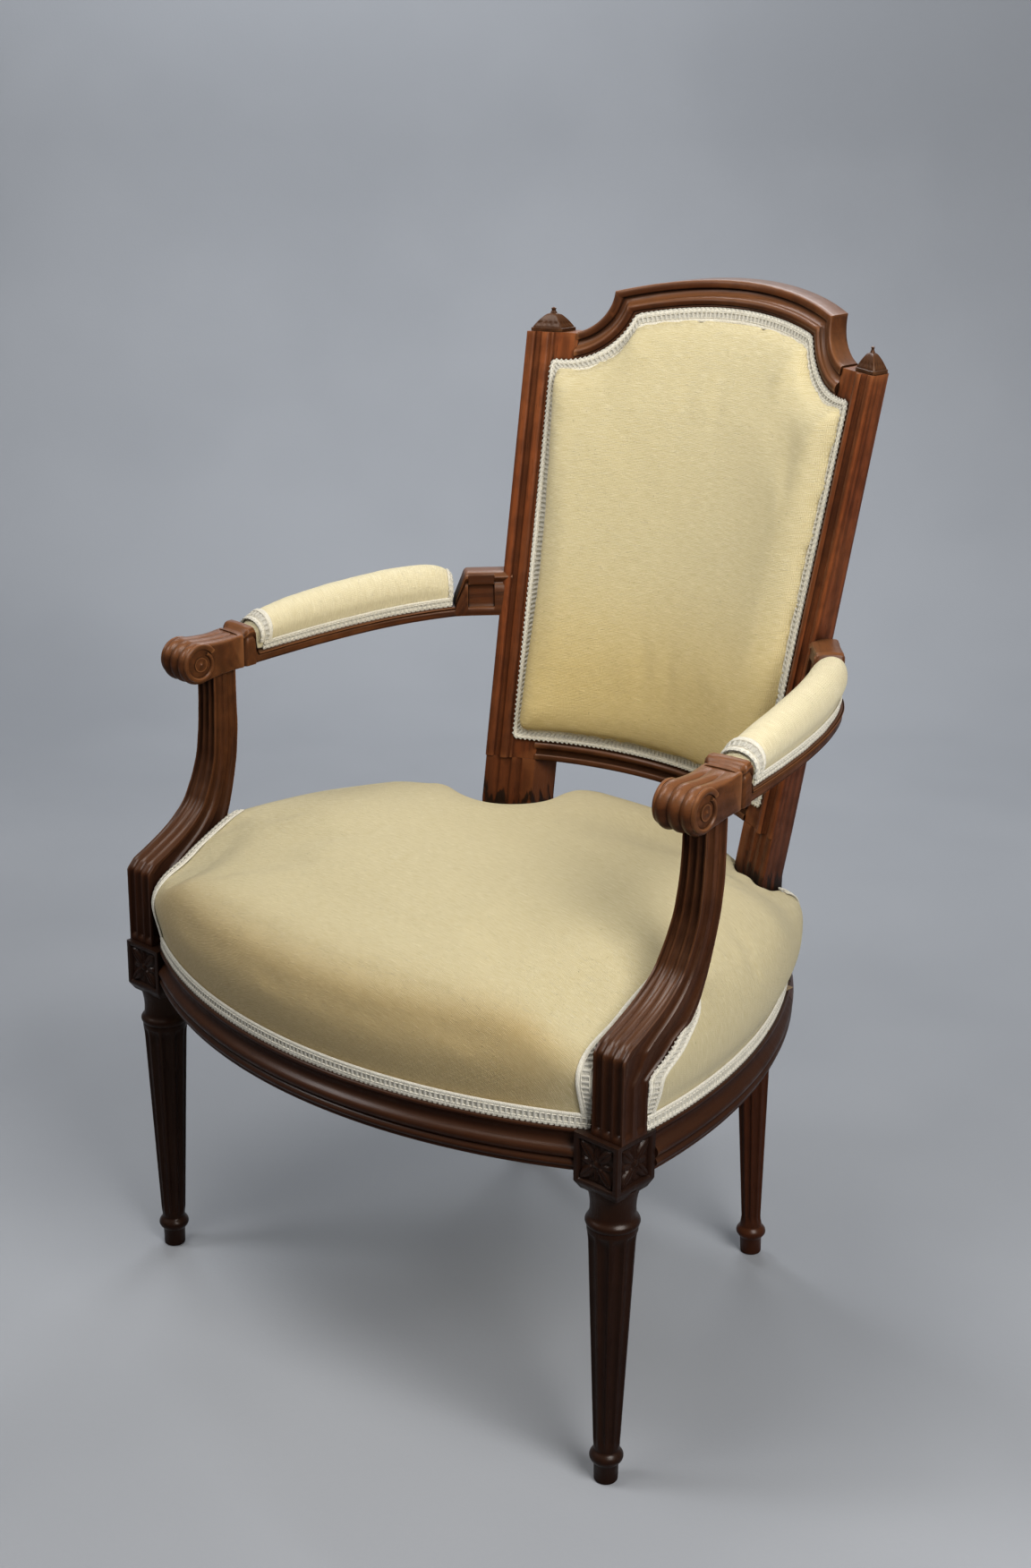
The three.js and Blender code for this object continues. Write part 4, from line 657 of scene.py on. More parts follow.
finish_pair("side_seat_rail", [side_moulding(
    BLOCK_DEPTH / 2 - LEG_FORWARD + JOINT, REAR_BLOCK_FRONT - JOINT, 37)], walnut, "side_rail")

# %% [markdown]
# ## Turned and fluted legs
# A leg is turned on a lathe and then fluted with a gouge. Its outline from the top down is a
# neck, a collar, a tapered shaft, a ring and a toe. A lathe object can't hold flutes, so the
# rings of the loft are wavy instead: the radius drops inside each flute, and the flute fades
# out at both ends of the shaft.

# %% Rings of a turned leg
FLUTES, FLUTE_HALF, FLUTE_DEPTH, LEG_SIDES = 10, 0.36, 0.155, 120
TOE, RING, COLLAR, NECK = 16, 14, 13, 23


def leg_outline(height, shaft, collar, neck):
    """Radius and height from the top down."""
    shaft_top = height - NECK - COLLAR
    ring_top = TOE + RING
    return section_line([
        (neck * 1.1, height + 3, 0), (neck * 1.08, height - 1, -0.10),
        (neck, shaft_top + COLLAR, 0), (collar * 0.95, shaft_top + COLLAR * 0.86, 0.5),
        (collar * 0.95, shaft_top + COLLAR * 0.30, 0),
        (shaft * 1.01, shaft_top + COLLAR * 0.22, 0), (shaft * 1.01, shaft_top, 0),
        (shaft * 0.955, shaft_top - 9, 0), (shaft * 0.56, ring_top + 8, 0), (10.4, ring_top, -0.1),
        (11.6, TOE + RING * 0.86, 0.5), (11.6, TOE + RING * 0.16, 0), (10.2, TOE, 0),
        (9.9, 2.0, 0.3), (9.0, 0.0, 0),
    ], steps=7)


def turned_leg(height, shaft, collar, neck, middle_at, board):
    """Rings from the top down. middle_at gives the axis at a height."""
    shaft_top = height - NECK - COLLAR
    ring_top = TOE + RING
    outline = leg_outline(height, shaft, collar, neck)
    shaft_rows = np.linspace(shaft_top - 0.5, ring_top + 1, 56)
    radius_at = lambda z: np.interp(z, outline[::-1, 1], outline[::-1, 0])
    above = [row for row in outline if row[1] > shaft_top - 0.4]
    below = [row for row in outline if row[1] < ring_top + 0.9]
    rows = above + [(radius_at(z), z) for z in shaft_rows] + below
    angles = round_angles(LEG_SIDES)
    phase = np.abs((angles * FLUTES / math.tau + 0.5) % 1 - 0.5) / FLUTE_HALF
    hollow = np.sqrt(np.clip(1 - phase ** 2, 0, 1))
    rings = []
    for radius, z in rows:
        ends = between(z, ring_top + 5, ring_top + 10, shaft_top - 5, shaft_top - 2)
        reach = radius * (1 - FLUTE_DEPTH * hollow * ends)
        x, y = middle_at(z)
        rings.append(np.c_[
            x + reach * np.cos(angles), y + reach * np.sin(angles), np.full(LEG_SIDES, z)])
    return loft(rings, board=board)


# %% [markdown]
# ## Carved blocks
# Where two rails meet a front leg, the leg is left square and carries a carved square on both
# outer faces: a sunk field with four veined leaves towards its corners, smaller leaves
# between them and a button. A height over the face describes that well, so the block is six
# fine grids, and two of them are moved in and out by that height.


# %% Height of a carved leaf square
def leaf(along, aside, length, width):
    t = np.clip(along / length, 0, 1)
    half = width * np.sin(math.pi * t) ** 0.7 + 1e-6
    body = np.sqrt(np.clip(1 - (aside / half) ** 2, 0, 1)) * (along > 0) * (along < length)
    vein = 0.45 * np.exp(-(aside / 0.7) ** 2) * body
    return body - vein


def rosette(u, v, half):
    """Relief in mm at a place on the face, whose field reaches half a width from its middle."""
    inside = smooth_step(half - np.maximum(np.abs(u), np.abs(v)), 0, 1.4)
    relief = np.zeros_like(u)
    for turn in range(8):
        angle = turn * math.pi / 4
        along = u * math.cos(angle) + v * math.sin(angle)
        aside = -u * math.sin(angle) + v * math.cos(angle)
        diagonal = turn % 2 == 1
        length, width, rise = (half * 1.28, 4.6, 2.6) if diagonal else (half * 0.86, 2.8, 1.7)
        relief = np.maximum(relief, rise * leaf(along - 2.2, aside, length - 2.2, width))
    button = 2.9 * np.sqrt(np.clip(1 - (u * u + v * v) / 3.4 ** 2, 0, 1))
    return inside * (np.maximum(relief, button) - 2.8)


# %% Blocks from six grids
def grid_block(low, high, carve, cells=44, board=(0, 0, 0)):
    """A block whose faces are moved by carve(points, axis, sign), which gives new points."""
    low, high = np.array(low, float), np.array(high, float)
    points, faces = [], []
    line = np.r_[0, np.linspace(0.7 / 44, 1 - 0.7 / 44, cells - 1), 1]
    for axis in range(3):
        first, second = (axis + 1) % 3, (axis + 2) % 3
        for sign in (0, 1):
            u, v = np.meshgrid(line, line, indexing="ij")
            face = np.zeros(u.shape + (3,))
            face[..., axis] = (low, high)[sign][axis]
            face[..., first] = blend(low[first], high[first], u)
            face[..., second] = blend(low[second], high[second], v)
            start = len(points)
            points.extend(carve(face.reshape(-1, 3), axis, sign))
            side = len(line)
            for i in range(side - 1):
                for j in range(side - 1):
                    k = start + i * side + j
                    faces.append((k, k + 1, k + side + 1, k + side))
    points = np.array(points)
    return points, faces, points + board


BLOCK_BOTTOM = RAIL_TOP - BLOCK_HEIGHT
BLOCK_CHAMFER = 7
FRONT_NECK_RADIUS = 18.8


def carve_leg_block(points, axis, sign):
    """Leaf squares on the front and the outer face, and a chamfer round the foot."""
    points = points.copy()
    middle = np.array([LEG_SPREAD, -LEG_FORWARD])
    half = np.array([BLOCK_WIDTH / 2, BLOCK_DEPTH / 2])
    field = BLOCK_WIDTH / 2 - 4.2
    centre_z = (RAIL_TOP + BLOCK_BOTTOM + BLOCK_CHAMFER) / 2 - 0.5
    if axis == 1 and sign == 0:
        points[:, 1] -= rosette(points[:, 0] - middle[0], points[:, 2] - centre_z, field)
    if axis == 0 and sign == 1:
        points[:, 0] += rosette(points[:, 1] - middle[1], points[:, 2] - centre_z, field)
    rise = np.clip((points[:, 2] - BLOCK_BOTTOM) / BLOCK_CHAMFER, 0, 1)
    share = blend(FRONT_NECK_RADIUS / half, 1.0, rise[:, None])
    points[:, :2] = middle + (points[:, :2] - middle) * share
    near = np.all(np.abs(np.abs(points[:, :2] - middle) / half - share) < 0.012, axis=1)
    points[near, :2] = middle + (points[near, :2] - middle) * 0.985
    return points


# %% Front legs
block_skin = grid_block(
    (LEG_SPREAD - BLOCK_WIDTH / 2, -LEG_FORWARD - BLOCK_DEPTH / 2, BLOCK_BOTTOM),
    (LEG_SPREAD + BLOCK_WIDTH / 2, -LEG_FORWARD + BLOCK_DEPTH / 2, RAIL_TOP),
    carve_leg_block)
shaft_skin = turned_leg(
    BLOCK_BOTTOM, 20.2, 21.2, FRONT_NECK_RADIUS, lambda z: (LEG_SPREAD, -LEG_FORWARD), (0, 0, 30))
finish_pair("fluted_leg", [block_skin, shaft_skin], walnut_carved, "front_leg")

# %% [markdown]
# ## The back's frame
# Each stile runs up from its rear leg, leans back and spreads outwards a little, and the
# whole back is bent to an arc, so that it takes the sitter's shoulders. Its front face is
# moulded over its outer half: a bead, a quirk, a cove, a round and a small inner bead. The
# same section runs up the stiles, round the notched and arched crest and along the lower rail.

# %% Face of the back
BACK_FACE, BACK_BOW, BACK_HALF = 144.8, 270, 127
BACK_RAKE, STILE_SLOPE = 0.228, 0.45
LOWER_RAIL_BOTTOM, LOWER_RAIL_HEIGHT, LOWER_RAIL_MOULDING, RAKE_START = 440.6, 44, 36, 398.8
STILE_OUTER, STILE_SPLAY, STILE_TOP = 169.7, 0.0595, 841
MEMBER, STILE_THICKNESS, CREST_THICKNESS = 46, 33, 25


def back_face(x, z):
    across = abs(x)
    sag = BACK_BOW - math.sqrt(BACK_BOW ** 2 - min(across, BACK_HALF) ** 2)
    flat = max(across - BACK_HALF, 0) * STILE_SLOPE
    return BACK_FACE + (max(z, RAKE_START) - LOWER_RAIL_BOTTOM) * BACK_RAKE - sag - flat


def stile_outer(z):
    return STILE_OUTER + (max(z, RAKE_START) - RAKE_START) * STILE_SPLAY


def back_thickness(z):
    share = (z - LOWER_RAIL_BOTTOM) / (STILE_TOP - LOWER_RAIL_BOTTOM)
    return blend(STILE_THICKNESS, CREST_THICKNESS, min(max(share, 0), 1))


BACK_MOULDING = section_line([
    (0, -2.5, 0), (0, 0.6, 0.3), (1.8, 2.5, 0.10), (6.2, 2.4, 0.35), (7.6, 0.4, 0), (7.8, -1.0, 0),
    (9.4, -1.1, -0.22), (14.8, 2.2, 0), (15.2, 3.6, 0.42), (21.8, 3.9, 0), (22.2, 2.0, 0),
    (22.8, 2.0, 0.55), (24.9, 1.4, 0), (25.1, 0.0, 0), (46.0, 0.0, 0),
])
STILE_GROOVES = section_line([
    (0, -2.5, 0), (0, -0.6, 0.3), (1.2, 0.4, 0), (7.5, 0.4, -0.42), (14.5, 0.4, 0),
    (17.5, 0.4, -0.42), (24.5, 0.4, 0), (27.5, 0.4, -0.42), (34.5, 0.4, 0), (46.0, 0.4, 0),
])


def back_section(line, profile=BACK_MOULDING, height_share=1.0):
    """One ring over the face of the back and round its rear. line(across) gives x and z."""
    ring = []
    for across, relief in profile:
        x, z = line(across)
        ring.append((x, back_face(x, z) - relief * height_share, z))
    for across, lift in ((MEMBER, 0), (MEMBER / 2, 0), (3, 0), (0.6, 1.6), (0, 4)):
        x, z = line(across)
        ring.append((x, back_face(x, z) + back_thickness(z) - lift, z))
    return ring


# %% Stiles and rear legs
REAR_FOOT, REAR_LEG_TOP = np.array([145.0, 130.0]), np.array([147.5, 113.0])
REAR_NECK_RADIUS, HAIR = 16.4, 0.3


def rear_axis(z):
    return blend(REAR_FOOT, REAR_LEG_TOP, z / BLOCK_BOTTOM)


def rear_block_infill():
    """Wood between the block and the moulding, its faces a hair inside theirs."""
    inner = REAR_BLOCK_OUTER - 3
    front, back = REAR_BLOCK_FRONT + HAIR, REAR_BLOCK_BACK - HAIR
    corner = lambda y: side_arc(y) - RAIL_THICKNESS / 2
    rings = [[
        (inner, front, z), (corner(front), front, z),
        (max(corner(back), REAR_BLOCK_OUTER), back, z), (inner, back, z),
    ] for z in (RAIL_TOP - RAIL_HEIGHT + HAIR, RAIL_TOP - HAIR)]
    return loft(rings)


def stile_part(profile, low, high, count):
    """A stretch of a stile with one moulding on its face."""
    return loft([back_section(lambda across: (stile_outer(z) - across, z), profile)
                 for z in np.linspace(low, high, count)], board=(0, 60, 0))


finish_pair("stile_and_leg", [
    turned_leg(BLOCK_BOTTOM, 16.6, 18.4, REAR_NECK_RADIUS, rear_axis, (0, 90, 0)),
    grid_block((REAR_BLOCK_INNER, REAR_BLOCK_FRONT, BLOCK_BOTTOM),
               (REAR_BLOCK_OUTER, REAR_BLOCK_BACK, RAIL_TOP), lambda points, *_: points, 6),
    rear_block_infill(),
    side_moulding(REAR_BLOCK_FRONT + 2 * HAIR, REAR_BLOCK_BACK - 2 * HAIR, 9),
    stile_part(STILE_GROOVES, RAIL_TOP - 3, LOWER_RAIL_BOTTOM, 22),
    stile_part(BACK_MOULDING, LOWER_RAIL_BOTTOM, STILE_TOP, 48),
], walnut_stile, "rear_upright")

# %% [markdown]
# ## Crest, lower rail and finials
# The crest's outline is a quarter-round notch at each end and a shallow arch between them.
# Lines at equal distances inside that outline are offset arcs, so each point of the moulding
# runs along its own notch and arch, and the mitre between the two comes out by itself.

# %% Lines of the crest
NOTCH_SPREAD, NOTCH_HEIGHT, NOTCH_RADIUS = 161.01, 879, 38
ARCH_TOP, ARCH_RADIUS = 898, 460
ARCH_CENTRE = ARCH_TOP - ARCH_RADIUS


def notch_point(radius, angle):
    return NOTCH_SPREAD - radius * math.sin(angle), NOTCH_HEIGHT - radius * math.cos(angle)


def arch_point(radius, x):
    return x, ARCH_CENTRE + math.sqrt(radius ** 2 - x * x)


def notch_end(notch, arch):
    """The angle at which the notch runs out under the arch."""
    centre = math.hypot(NOTCH_SPREAD, NOTCH_HEIGHT - ARCH_CENTRE)
    bend = math.acos((centre ** 2 + notch ** 2 - arch ** 2) / (2 * centre * notch))
    return math.atan2(NOTCH_SPREAD, NOTCH_HEIGHT - ARCH_CENTRE) + bend


def notch_start(radius, inset):
    angle = 0.0
    for _ in range(8):
        z = notch_point(radius, angle)[1]
        angle = math.asin((NOTCH_SPREAD - (stile_outer(z) - MEMBER - inset)) / radius)
    return angle


def notch_and_arch(inside, start, notch_count, arch_count):
    """Round a notch and over the arch to the middle, at a distance inside the outline."""
    radius, arch = NOTCH_RADIUS + inside, ARCH_RADIUS - inside
    end = notch_end(radius, arch)
    over = np.linspace(notch_point(radius, end)[0], 0, arch_count)[1:]
    return ([notch_point(radius, angle) for angle in np.linspace(start, end, notch_count)]
            + [arch_point(arch, x) for x in over])


def crest_line(inside):
    return notch_and_arch(inside, notch_start(NOTCH_RADIUS + inside, JOINT), 18, 22)


# %% Crest rail and lower rail of the back
def crest_rail():
    places = {across: crest_line(across) for across in
              {*BACK_MOULDING[:, 0], MEMBER, MEMBER / 2, 3, 0.6, 0}}
    right = [back_section(lambda across: places[across][i]) for i in range(len(places[0]))]
    left = [np.array(ring) * (-1, 1, 1) for ring in right[-2::-1]]
    return loft(right + left, board=(200, 0, 0))


def lower_back_rail():
    rings = []
    for share in np.linspace(-1, 1, 41):
        def line(across):
            rise = across / MEMBER
            z = LOWER_RAIL_BOTTOM + (rise * LOWER_RAIL_MOULDING if rise < 1 else LOWER_RAIL_HEIGHT)
            return share * (stile_outer(z) - MEMBER - JOINT), z
        rings.append(back_section(line, BACK_MOULDING, 0.85))
    return loft(rings, board=(260, 0, 0))


finish_piece(mesh_object("arched_crest", [crest_rail()]), walnut, ["crest_rail"])
finish_piece(
    mesh_object("back_foot_rail", [lower_back_rail()]), walnut, ["lower_back_rail"])

# %% Finials
FINIAL_WIDTH, FINIAL_DEPTH, FINIAL_HEIGHT, FINIAL_INSET = 28, 22, 17, 1.5


def finial():
    """A small stepped pyramid with drilled dots on its faces and a knob on its tip."""
    x = stile_outer(STILE_TOP) - FINIAL_INSET - FINIAL_WIDTH / 2
    y = back_face(x, STILE_TOP) + back_thickness(STILE_TOP) / 2
    outline = section_line([
        (1.0, 0.0, 0), (1.0, 0.16, 0), (0.93, 0.18, 0), (0.90, 0.24, -0.08), (0.30, 0.92, 0),
        (0.20, 0.95, 0), (0.17, 1.02, 0.5), (0.17, 1.22, 0), (0.03, 1.28, 0),
    ], steps=12)
    rings = []
    for share, rise in outline:
        ring = []
        for k in range(64):
            angle = (k + 0.5) / 64 * math.tau
            cos, sin = math.cos(angle), math.sin(angle)
            square = 1 / max(abs(cos), abs(sin))
            square = blend(1.0, square, float(1 - smooth_step(rise, 0.85, 1.0)))
            turn = (angle / math.tau * 16) % 1 - 0.5
            dot = 0.10 * math.exp(-(turn / 0.20) ** 2 - ((rise - 0.42) / 0.09) ** 2)
            reach = share * square * (1 - dot)
            dx, dy = reach * cos * FINIAL_WIDTH / 2, reach * sin * FINIAL_DEPTH / 2
            z = STILE_TOP + JOINT + rise * FINIAL_HEIGHT
            ring.append((x + dx, y + dy - dx * STILE_SLOPE, z))
        rings.append(ring)
    return loft(rings)


finish_pair("carved_finial", [finial()], walnut_carved, "finial")

# %% [markdown]
# ## Arms
# An arm leaves the stile as a deep block, drops to a thin sunk bed for the pad, rises in a
# rounded lip in front of the pad, and ends in a scroll. The rear part is a section that
# travels along a bend. The scroll is made the other way round: its side view is one outline,
# repeated across the width with three ridges, so that the ridges run over the scroll.

# %% Path of an arm
ARM_BEND = np.array([
    (188.8, 124.5, 574.5), (219.6, 85.4, 574.9), (269.0, 72.2, 571.4), (284.5, -164.7, 554.5)])
ARM_TAIL, ARM_HEIGHT, ARM_LEAN = 14, 42, 6
PAD_BED, LIP_HEIGHT, NECK_HEIGHT = 10, 36.5, 34
ARM_REAR_WIDTH, ARM_PAD_WIDTH, LIP_WIDTH = 25, 32, 37
SCROLL_RADIUS, SCROLL_FORWARD, SCROLL_WIDTH, SCROLL_Z = 19.5, 17.5, 35, 569


def arm_place(share):
    """Point, heading and sideways direction at a share of the bend."""
    t = min(max(share, 0.0), 1.0)
    s = 1 - t
    point = np.array([s ** 3, 3 * s * s * t, 3 * s * t * t, t ** 3]) @ ARM_BEND
    slope = np.array([s * s, 2 * s * t, t * t]) @ np.diff(ARM_BEND, axis=0)
    heading = unit((slope[0], slope[1], 0))
    return point, heading, np.array([-heading[1], heading[0], 0])


def arm_lean(share):
    return ARM_LEAN * (1 - float(smooth_step(share, 0.2, 0.75)))


ARM_STATIONS = np.array([
    (0.00, ARM_HEIGHT, ARM_REAR_WIDTH), (0.12, ARM_HEIGHT, ARM_REAR_WIDTH),
    (0.195, ARM_HEIGHT, ARM_REAR_WIDTH), (0.208, ARM_HEIGHT * 0.96, ARM_REAR_WIDTH),
    (0.262, ARM_HEIGHT * 0.42, ARM_REAR_WIDTH), (0.270, PAD_BED, ARM_REAR_WIDTH),
    (0.34, PAD_BED, ARM_PAD_WIDTH * 0.9), (0.45, PAD_BED, ARM_PAD_WIDTH),
    (0.925, PAD_BED, ARM_PAD_WIDTH), (0.930, LIP_HEIGHT * 0.55, ARM_PAD_WIDTH * 1.02),
    (0.933, LIP_HEIGHT * 0.90, LIP_WIDTH), (0.936, LIP_HEIGHT, LIP_WIDTH),
    (0.944, LIP_HEIGHT, LIP_WIDTH), (0.948, LIP_HEIGHT * 0.95, LIP_WIDTH),
    (0.951, NECK_HEIGHT * 0.93, ARM_PAD_WIDTH * 0.97), (1.0, NECK_HEIGHT, ARM_PAD_WIDTH),
])


def arm_shape(share):
    return [np.interp(share, ARM_STATIONS[:, 0], ARM_STATIONS[:, column]) for column in (1, 2)]


# %% Section of an arm
OUTLINE_SHARES = (0.12, 0.185, 0.195, 0.21, 0.22, 0.3, 0.4, 0.5, 0.6, 0.695, 0.705, 0.72, 0.73,
                  0.76, 0.80, 0.84, 0.88, 0.92)


def arm_outline(top, width, panel):
    """Half-width and rise round a section, with softened corners and grooved sides."""
    half = width / 2
    soft = min(3.0, top * 0.22)
    right = [(half - 2.2, 0), (half - 0.6, 0.5), (half, 2.0)]
    for t in OUTLINE_SHARES:
        bead = (0.9 * math.exp(-((t - 0.88) / 0.05) ** 2)
                - 1.6 * math.exp(-((t - 0.76) / 0.06) ** 2))
        sunk = 2.6 * float(between(t, 0.19, 0.215, 0.70, 0.725))
        right.append((half + bead * (1 - panel) - sunk * panel, top * t))
    right += [(half, top - soft), (half - soft * 0.3, top - soft * 0.3), (half - soft, top)]
    right += [(half * 0.4, top + 0.4)]
    left = [(-aside, rise) for aside, rise in reversed(right)]
    return right + left


def arm_ring(share, forward=0.0):
    top, width = arm_shape(share)
    point, heading, across = arm_place(share)
    middle = point + heading * forward
    lean = arm_lean(share) / ARM_HEIGHT
    panel = float(between(share, 0.022, 0.027, 0.186, 0.191))
    ring = [middle + across * (aside + lean * rise) + (0, 0, rise)
            for aside, rise in arm_outline(top, width, panel)]
    return np.array(ring)


def arm_rest():
    shares = np.unique(np.r_[
        np.linspace(0, 0.02, 4), np.linspace(0.022, 0.027, 4), np.linspace(0.03, 0.18, 16),
        np.linspace(0.186, 0.191, 4), np.linspace(0.20, 0.27, 22),
        np.linspace(0.27, 0.92, 46), np.linspace(0.92, 0.96, 22)])
    tail = [arm_ring(0, -ARM_TAIL), arm_ring(0, -ARM_TAIL / 2)]
    return loft(tail + [arm_ring(share) for share in shares], board=(0, 140, 0))


# %% Scroll at the end of an arm
NECK_SHARE = 0.954


def scroll_outline():
    """Forward and rise round the neck and scroll, seen from the side."""
    centre_z = SCROLL_Z - ARM_BEND[3][2]
    start = arm_place(NECK_SHARE)[0]
    back = -np.linalg.norm(ARM_BEND[3][:2] - start[:2])
    underside = start[2] - ARM_BEND[3][2]
    angles = np.linspace(math.pi / 2 + 0.15, -math.pi / 2 - 0.1, 40)
    wheel = [(SCROLL_FORWARD + SCROLL_RADIUS * math.cos(a), centre_z + SCROLL_RADIUS * math.sin(a))
             for a in angles]
    top = section_line([(back, NECK_HEIGHT - 0.5, -0.05), (*wheel[0], 0)], steps=10)[:-1]
    under = section_line([(*wheel[-1], -0.08), (back, underside, 0)], steps=10)[1:]
    return np.array([*top, *wheel, *under])


def scroll_body():
    outline = scroll_outline()
    point, heading, across = arm_place(1)
    slope = along_path(outline)
    normal = unit_rows(np.c_[-slope[:, 1], slope[:, 0]])
    half = SCROLL_WIDTH / 2
    count = len(outline)
    ridged = between(np.arange(count), 0, 6, count - 14, count - 6)
    rings = []
    for aside in np.linspace(-half, half, 73):
        edge = 1.6 * (1 - math.sqrt(max(0.0, 1 - max(0.0, (abs(aside) - half + 1.6) / 1.6) ** 2)))
        wave = 2.6 * (0.5 - 0.5 * math.cos(3 * math.tau * (aside + half) / (2 * half))) ** 0.5 - 2.6
        flat = outline + normal * (ridged * wave - edge)[:, None]
        rings.append(point + heading * flat[:, :1] + across * aside + (0, 0, 1) * flat[:, 1:])
    return loft(rings, board=(0, 170, 0))


def scroll_volute(face):
    """A raised spiral and its button on one cheek of the scroll."""
    point, heading, across = arm_place(1)
    across = across * face
    centre = point + heading * SCROLL_FORWARD + across * (SCROLL_WIDTH / 2 - 0.3)
    centre[2] = SCROLL_Z
    out_at = lambda angle: heading * math.cos(angle) + np.array([0, 0, math.sin(angle)])
    spiral = []
    for t in np.linspace(0, 1, 70):
        out = out_at(2.5 - t * 6.6)
        reach, width = blend(SCROLL_RADIUS - 2.7, 11.4, t ** 1.5), blend(2.9, 1.9, t)
        spiral.append([centre + out * (reach + width * math.cos(a)) + across * 2.5 * math.sin(a)
                       for a in round_angles(10)])
    dome = section_line([(1.0, 0, 0), (0.98, 0.5, 0.4), (0.05, 1.0, 0)], steps=6)
    button = [[centre + out_at(a) * 6.8 * share + across * 2.8 * rise for a in round_angles(24)]
              for share, rise in dome]
    return [loft(rings, board=(0, 170, 0)) for rings in (spiral, button)]


finish_pair("scrolled_arm", [arm_rest(), scroll_body(), *scroll_volute(1), *scroll_volute(-1)],
            walnut, "arm")

# %% [markdown]
# ## Arm supports
# A support stands as a fluted stump on the leg's block and then sweeps back and up to the
# arm. Its section is a square whose front has three flutes and whose outer side has one broad
# hollow. The sweep is given by the front and rear lines at a row of heights, smoothed between.

# %% Swept and fluted supports
ARM_END_Z = ARM_BEND[3][2]
STUMP_INNER, STUMP_OUTER, SUPPORT_TOP_INNER, SUPPORT_TOP_OUTER = 263.5, 294, 271, 294
STUMP_FRONT, STUMP_REAR, SUPPORT_TOP_FRONT, SUPPORT_TOP_REAR = 257, 227, 166, 140
STUMP_FLUTE_DEPTH = 3.0
SWEEP = np.array([
    [0, 0, 0], [0.19, 0, 0], [0.243, 0, 0.24], [0.29, 0, 0.4], [0.325, 0.09, 0.585],
    [0.37, 0.33, 0.68], [0.42, 0.55, 0.745], [0.49, 0.75, 0.82], [0.585, 0.875, 0.9],
    [0.67, 0.95, 0.96], [0.78, 0.985, 1], [0.9, 1, 1], [1.02, 1, 1]])


def support_lines(rise):
    """Front and rear of the support at a share of its height."""
    front, rear = (np.interp(rise, SWEEP[:, 0], SWEEP[:, column]) for column in (1, 2))
    return (-blend(STUMP_FRONT, SUPPORT_TOP_FRONT, front),
            -blend(STUMP_REAR, SUPPORT_TOP_REAR, rear))


def flute(share, count, rest=0.26):
    """Depth of a row of equal flutes at a share of a face's width."""
    phase = abs((share * count) % 1 - 0.5) / (0.5 - rest / 2)
    inside = 0.06 < share < 0.94
    return math.sqrt(max(0.0, 1 - phase * phase)) if inside else 0.0


def support_ring(rise):
    z = RAIL_TOP + JOINT + rise * (ARM_END_Z - RAIL_TOP)
    narrowing = float(smooth_step(rise, 0.295, 0.9))
    inner = blend(STUMP_INNER, SUPPORT_TOP_INNER, narrowing)
    outer = blend(STUMP_OUTER, SUPPORT_TOP_OUTER, narrowing)
    near = [support_lines(rise + step) for step in (-0.02, 0.0, 0.02)]
    front, rear = np.mean(near, axis=0) if rise > 0.36 else near[1]
    depth = STUMP_FLUTE_DEPTH * float(smooth_step(rise, 0.012, 0.03))
    grooves = 0.8 * depth
    ring = [(blend(inner, outer, t), front + depth * flute(t, 3), z)
            for t in np.linspace(0, 1, 37)[:-1]]
    ring += [(outer - grooves * flute(t, 2, 0.34), blend(front, rear, t), z)
             for t in np.linspace(0, 1, 25)[:-1]]
    ring += [(blend(outer, inner, t), rear, z) for t in np.linspace(0, 1, 7)[:-1]]
    ring += [(inner + grooves * flute(t, 2, 0.34), blend(rear, front, t), z)
             for t in np.linspace(0, 1, 25)[:-1]]
    return ring


support_skin = loft([support_ring(rise) for rise in np.linspace(0, 1.01, 110)], board=(0, 200, 0))
finish_pair("swept_support", [support_skin], walnut, "arm_support")

# %% [markdown]
# ## Pegs
# The mortise and tenon joints are pinned with round pegs, driven in and cut off nearly flush.
# Their ends stand a hair proud and show as small discs of end grain. Each CAD peg gives the
# place and the direction; the new one has a slightly domed end.

# %% Pegs with domed ends
PEG_DOME = ((0.15, -1.02), (0.85, -1.0), (1.0, -0.98), (1.0, 0.98), (0.85, 1.0), (0.15, 1.02))


def domed_peg(node, proud=0.35):
    low, high = (to_drawing([corner])[0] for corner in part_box(node))
    size = high - low
    axis = int(np.argmax(size))
    radius = float(np.sort(size)[:2].mean()) / 2
    middle = (low + high) / 2
    first, second = (axis + 1) % 3, (axis + 2) % 3
    rings = []
    for reach, place in PEG_DOME:
        ring = []
        for angle in round_angles(20):
            point = middle.copy()
            point[axis] += place * size[axis] / 2 + math.copysign(proud, place)
            point[first] += radius * reach * math.cos(angle)
            point[second] += radius * reach * math.sin(angle)
            ring.append(point)
        rings.append(ring)
    return loft(rings)


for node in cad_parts:
    if node.endswith(("_peg_right", "_peg_left")):
        finish_piece(mesh_object(f"{node}_pin", [domed_peg(node)]), peg_wood, [node])

# %% [markdown]
# ## Stuffed forms
# A pad is horsehair under a tight cover. Its shape comes in three steps. First a closed form
# with the right outline, crown and border is lofted. Then it is remeshed evenly and given a
# short cloth simulation with air pressure inside, held still where the cover is nailed down,
# so that it swells between its edges like a stuffed pad. At last it is subdivided once.

# %% Simulate a stuffed cover
PRESSURE, SWELL_FRAMES, STIFFNESS, BENDING = 4.0, 20, 30, 2


def weight_group(obj, name, weights):
    group = obj.vertex_groups.new(name=name)
    for index, weight in enumerate(weights):
        group.add([index], float(weight), "REPLACE")


def calm_surface(obj, rounds, group=""):
    """Smooth a surface, or as much of it as a vertex group gives."""
    smooth = obj.modifiers.new("calm", "SMOOTH")
    smooth.factor, smooth.iterations, smooth.vertex_group = 0.5, rounds, group
    apply_modifiers(obj)


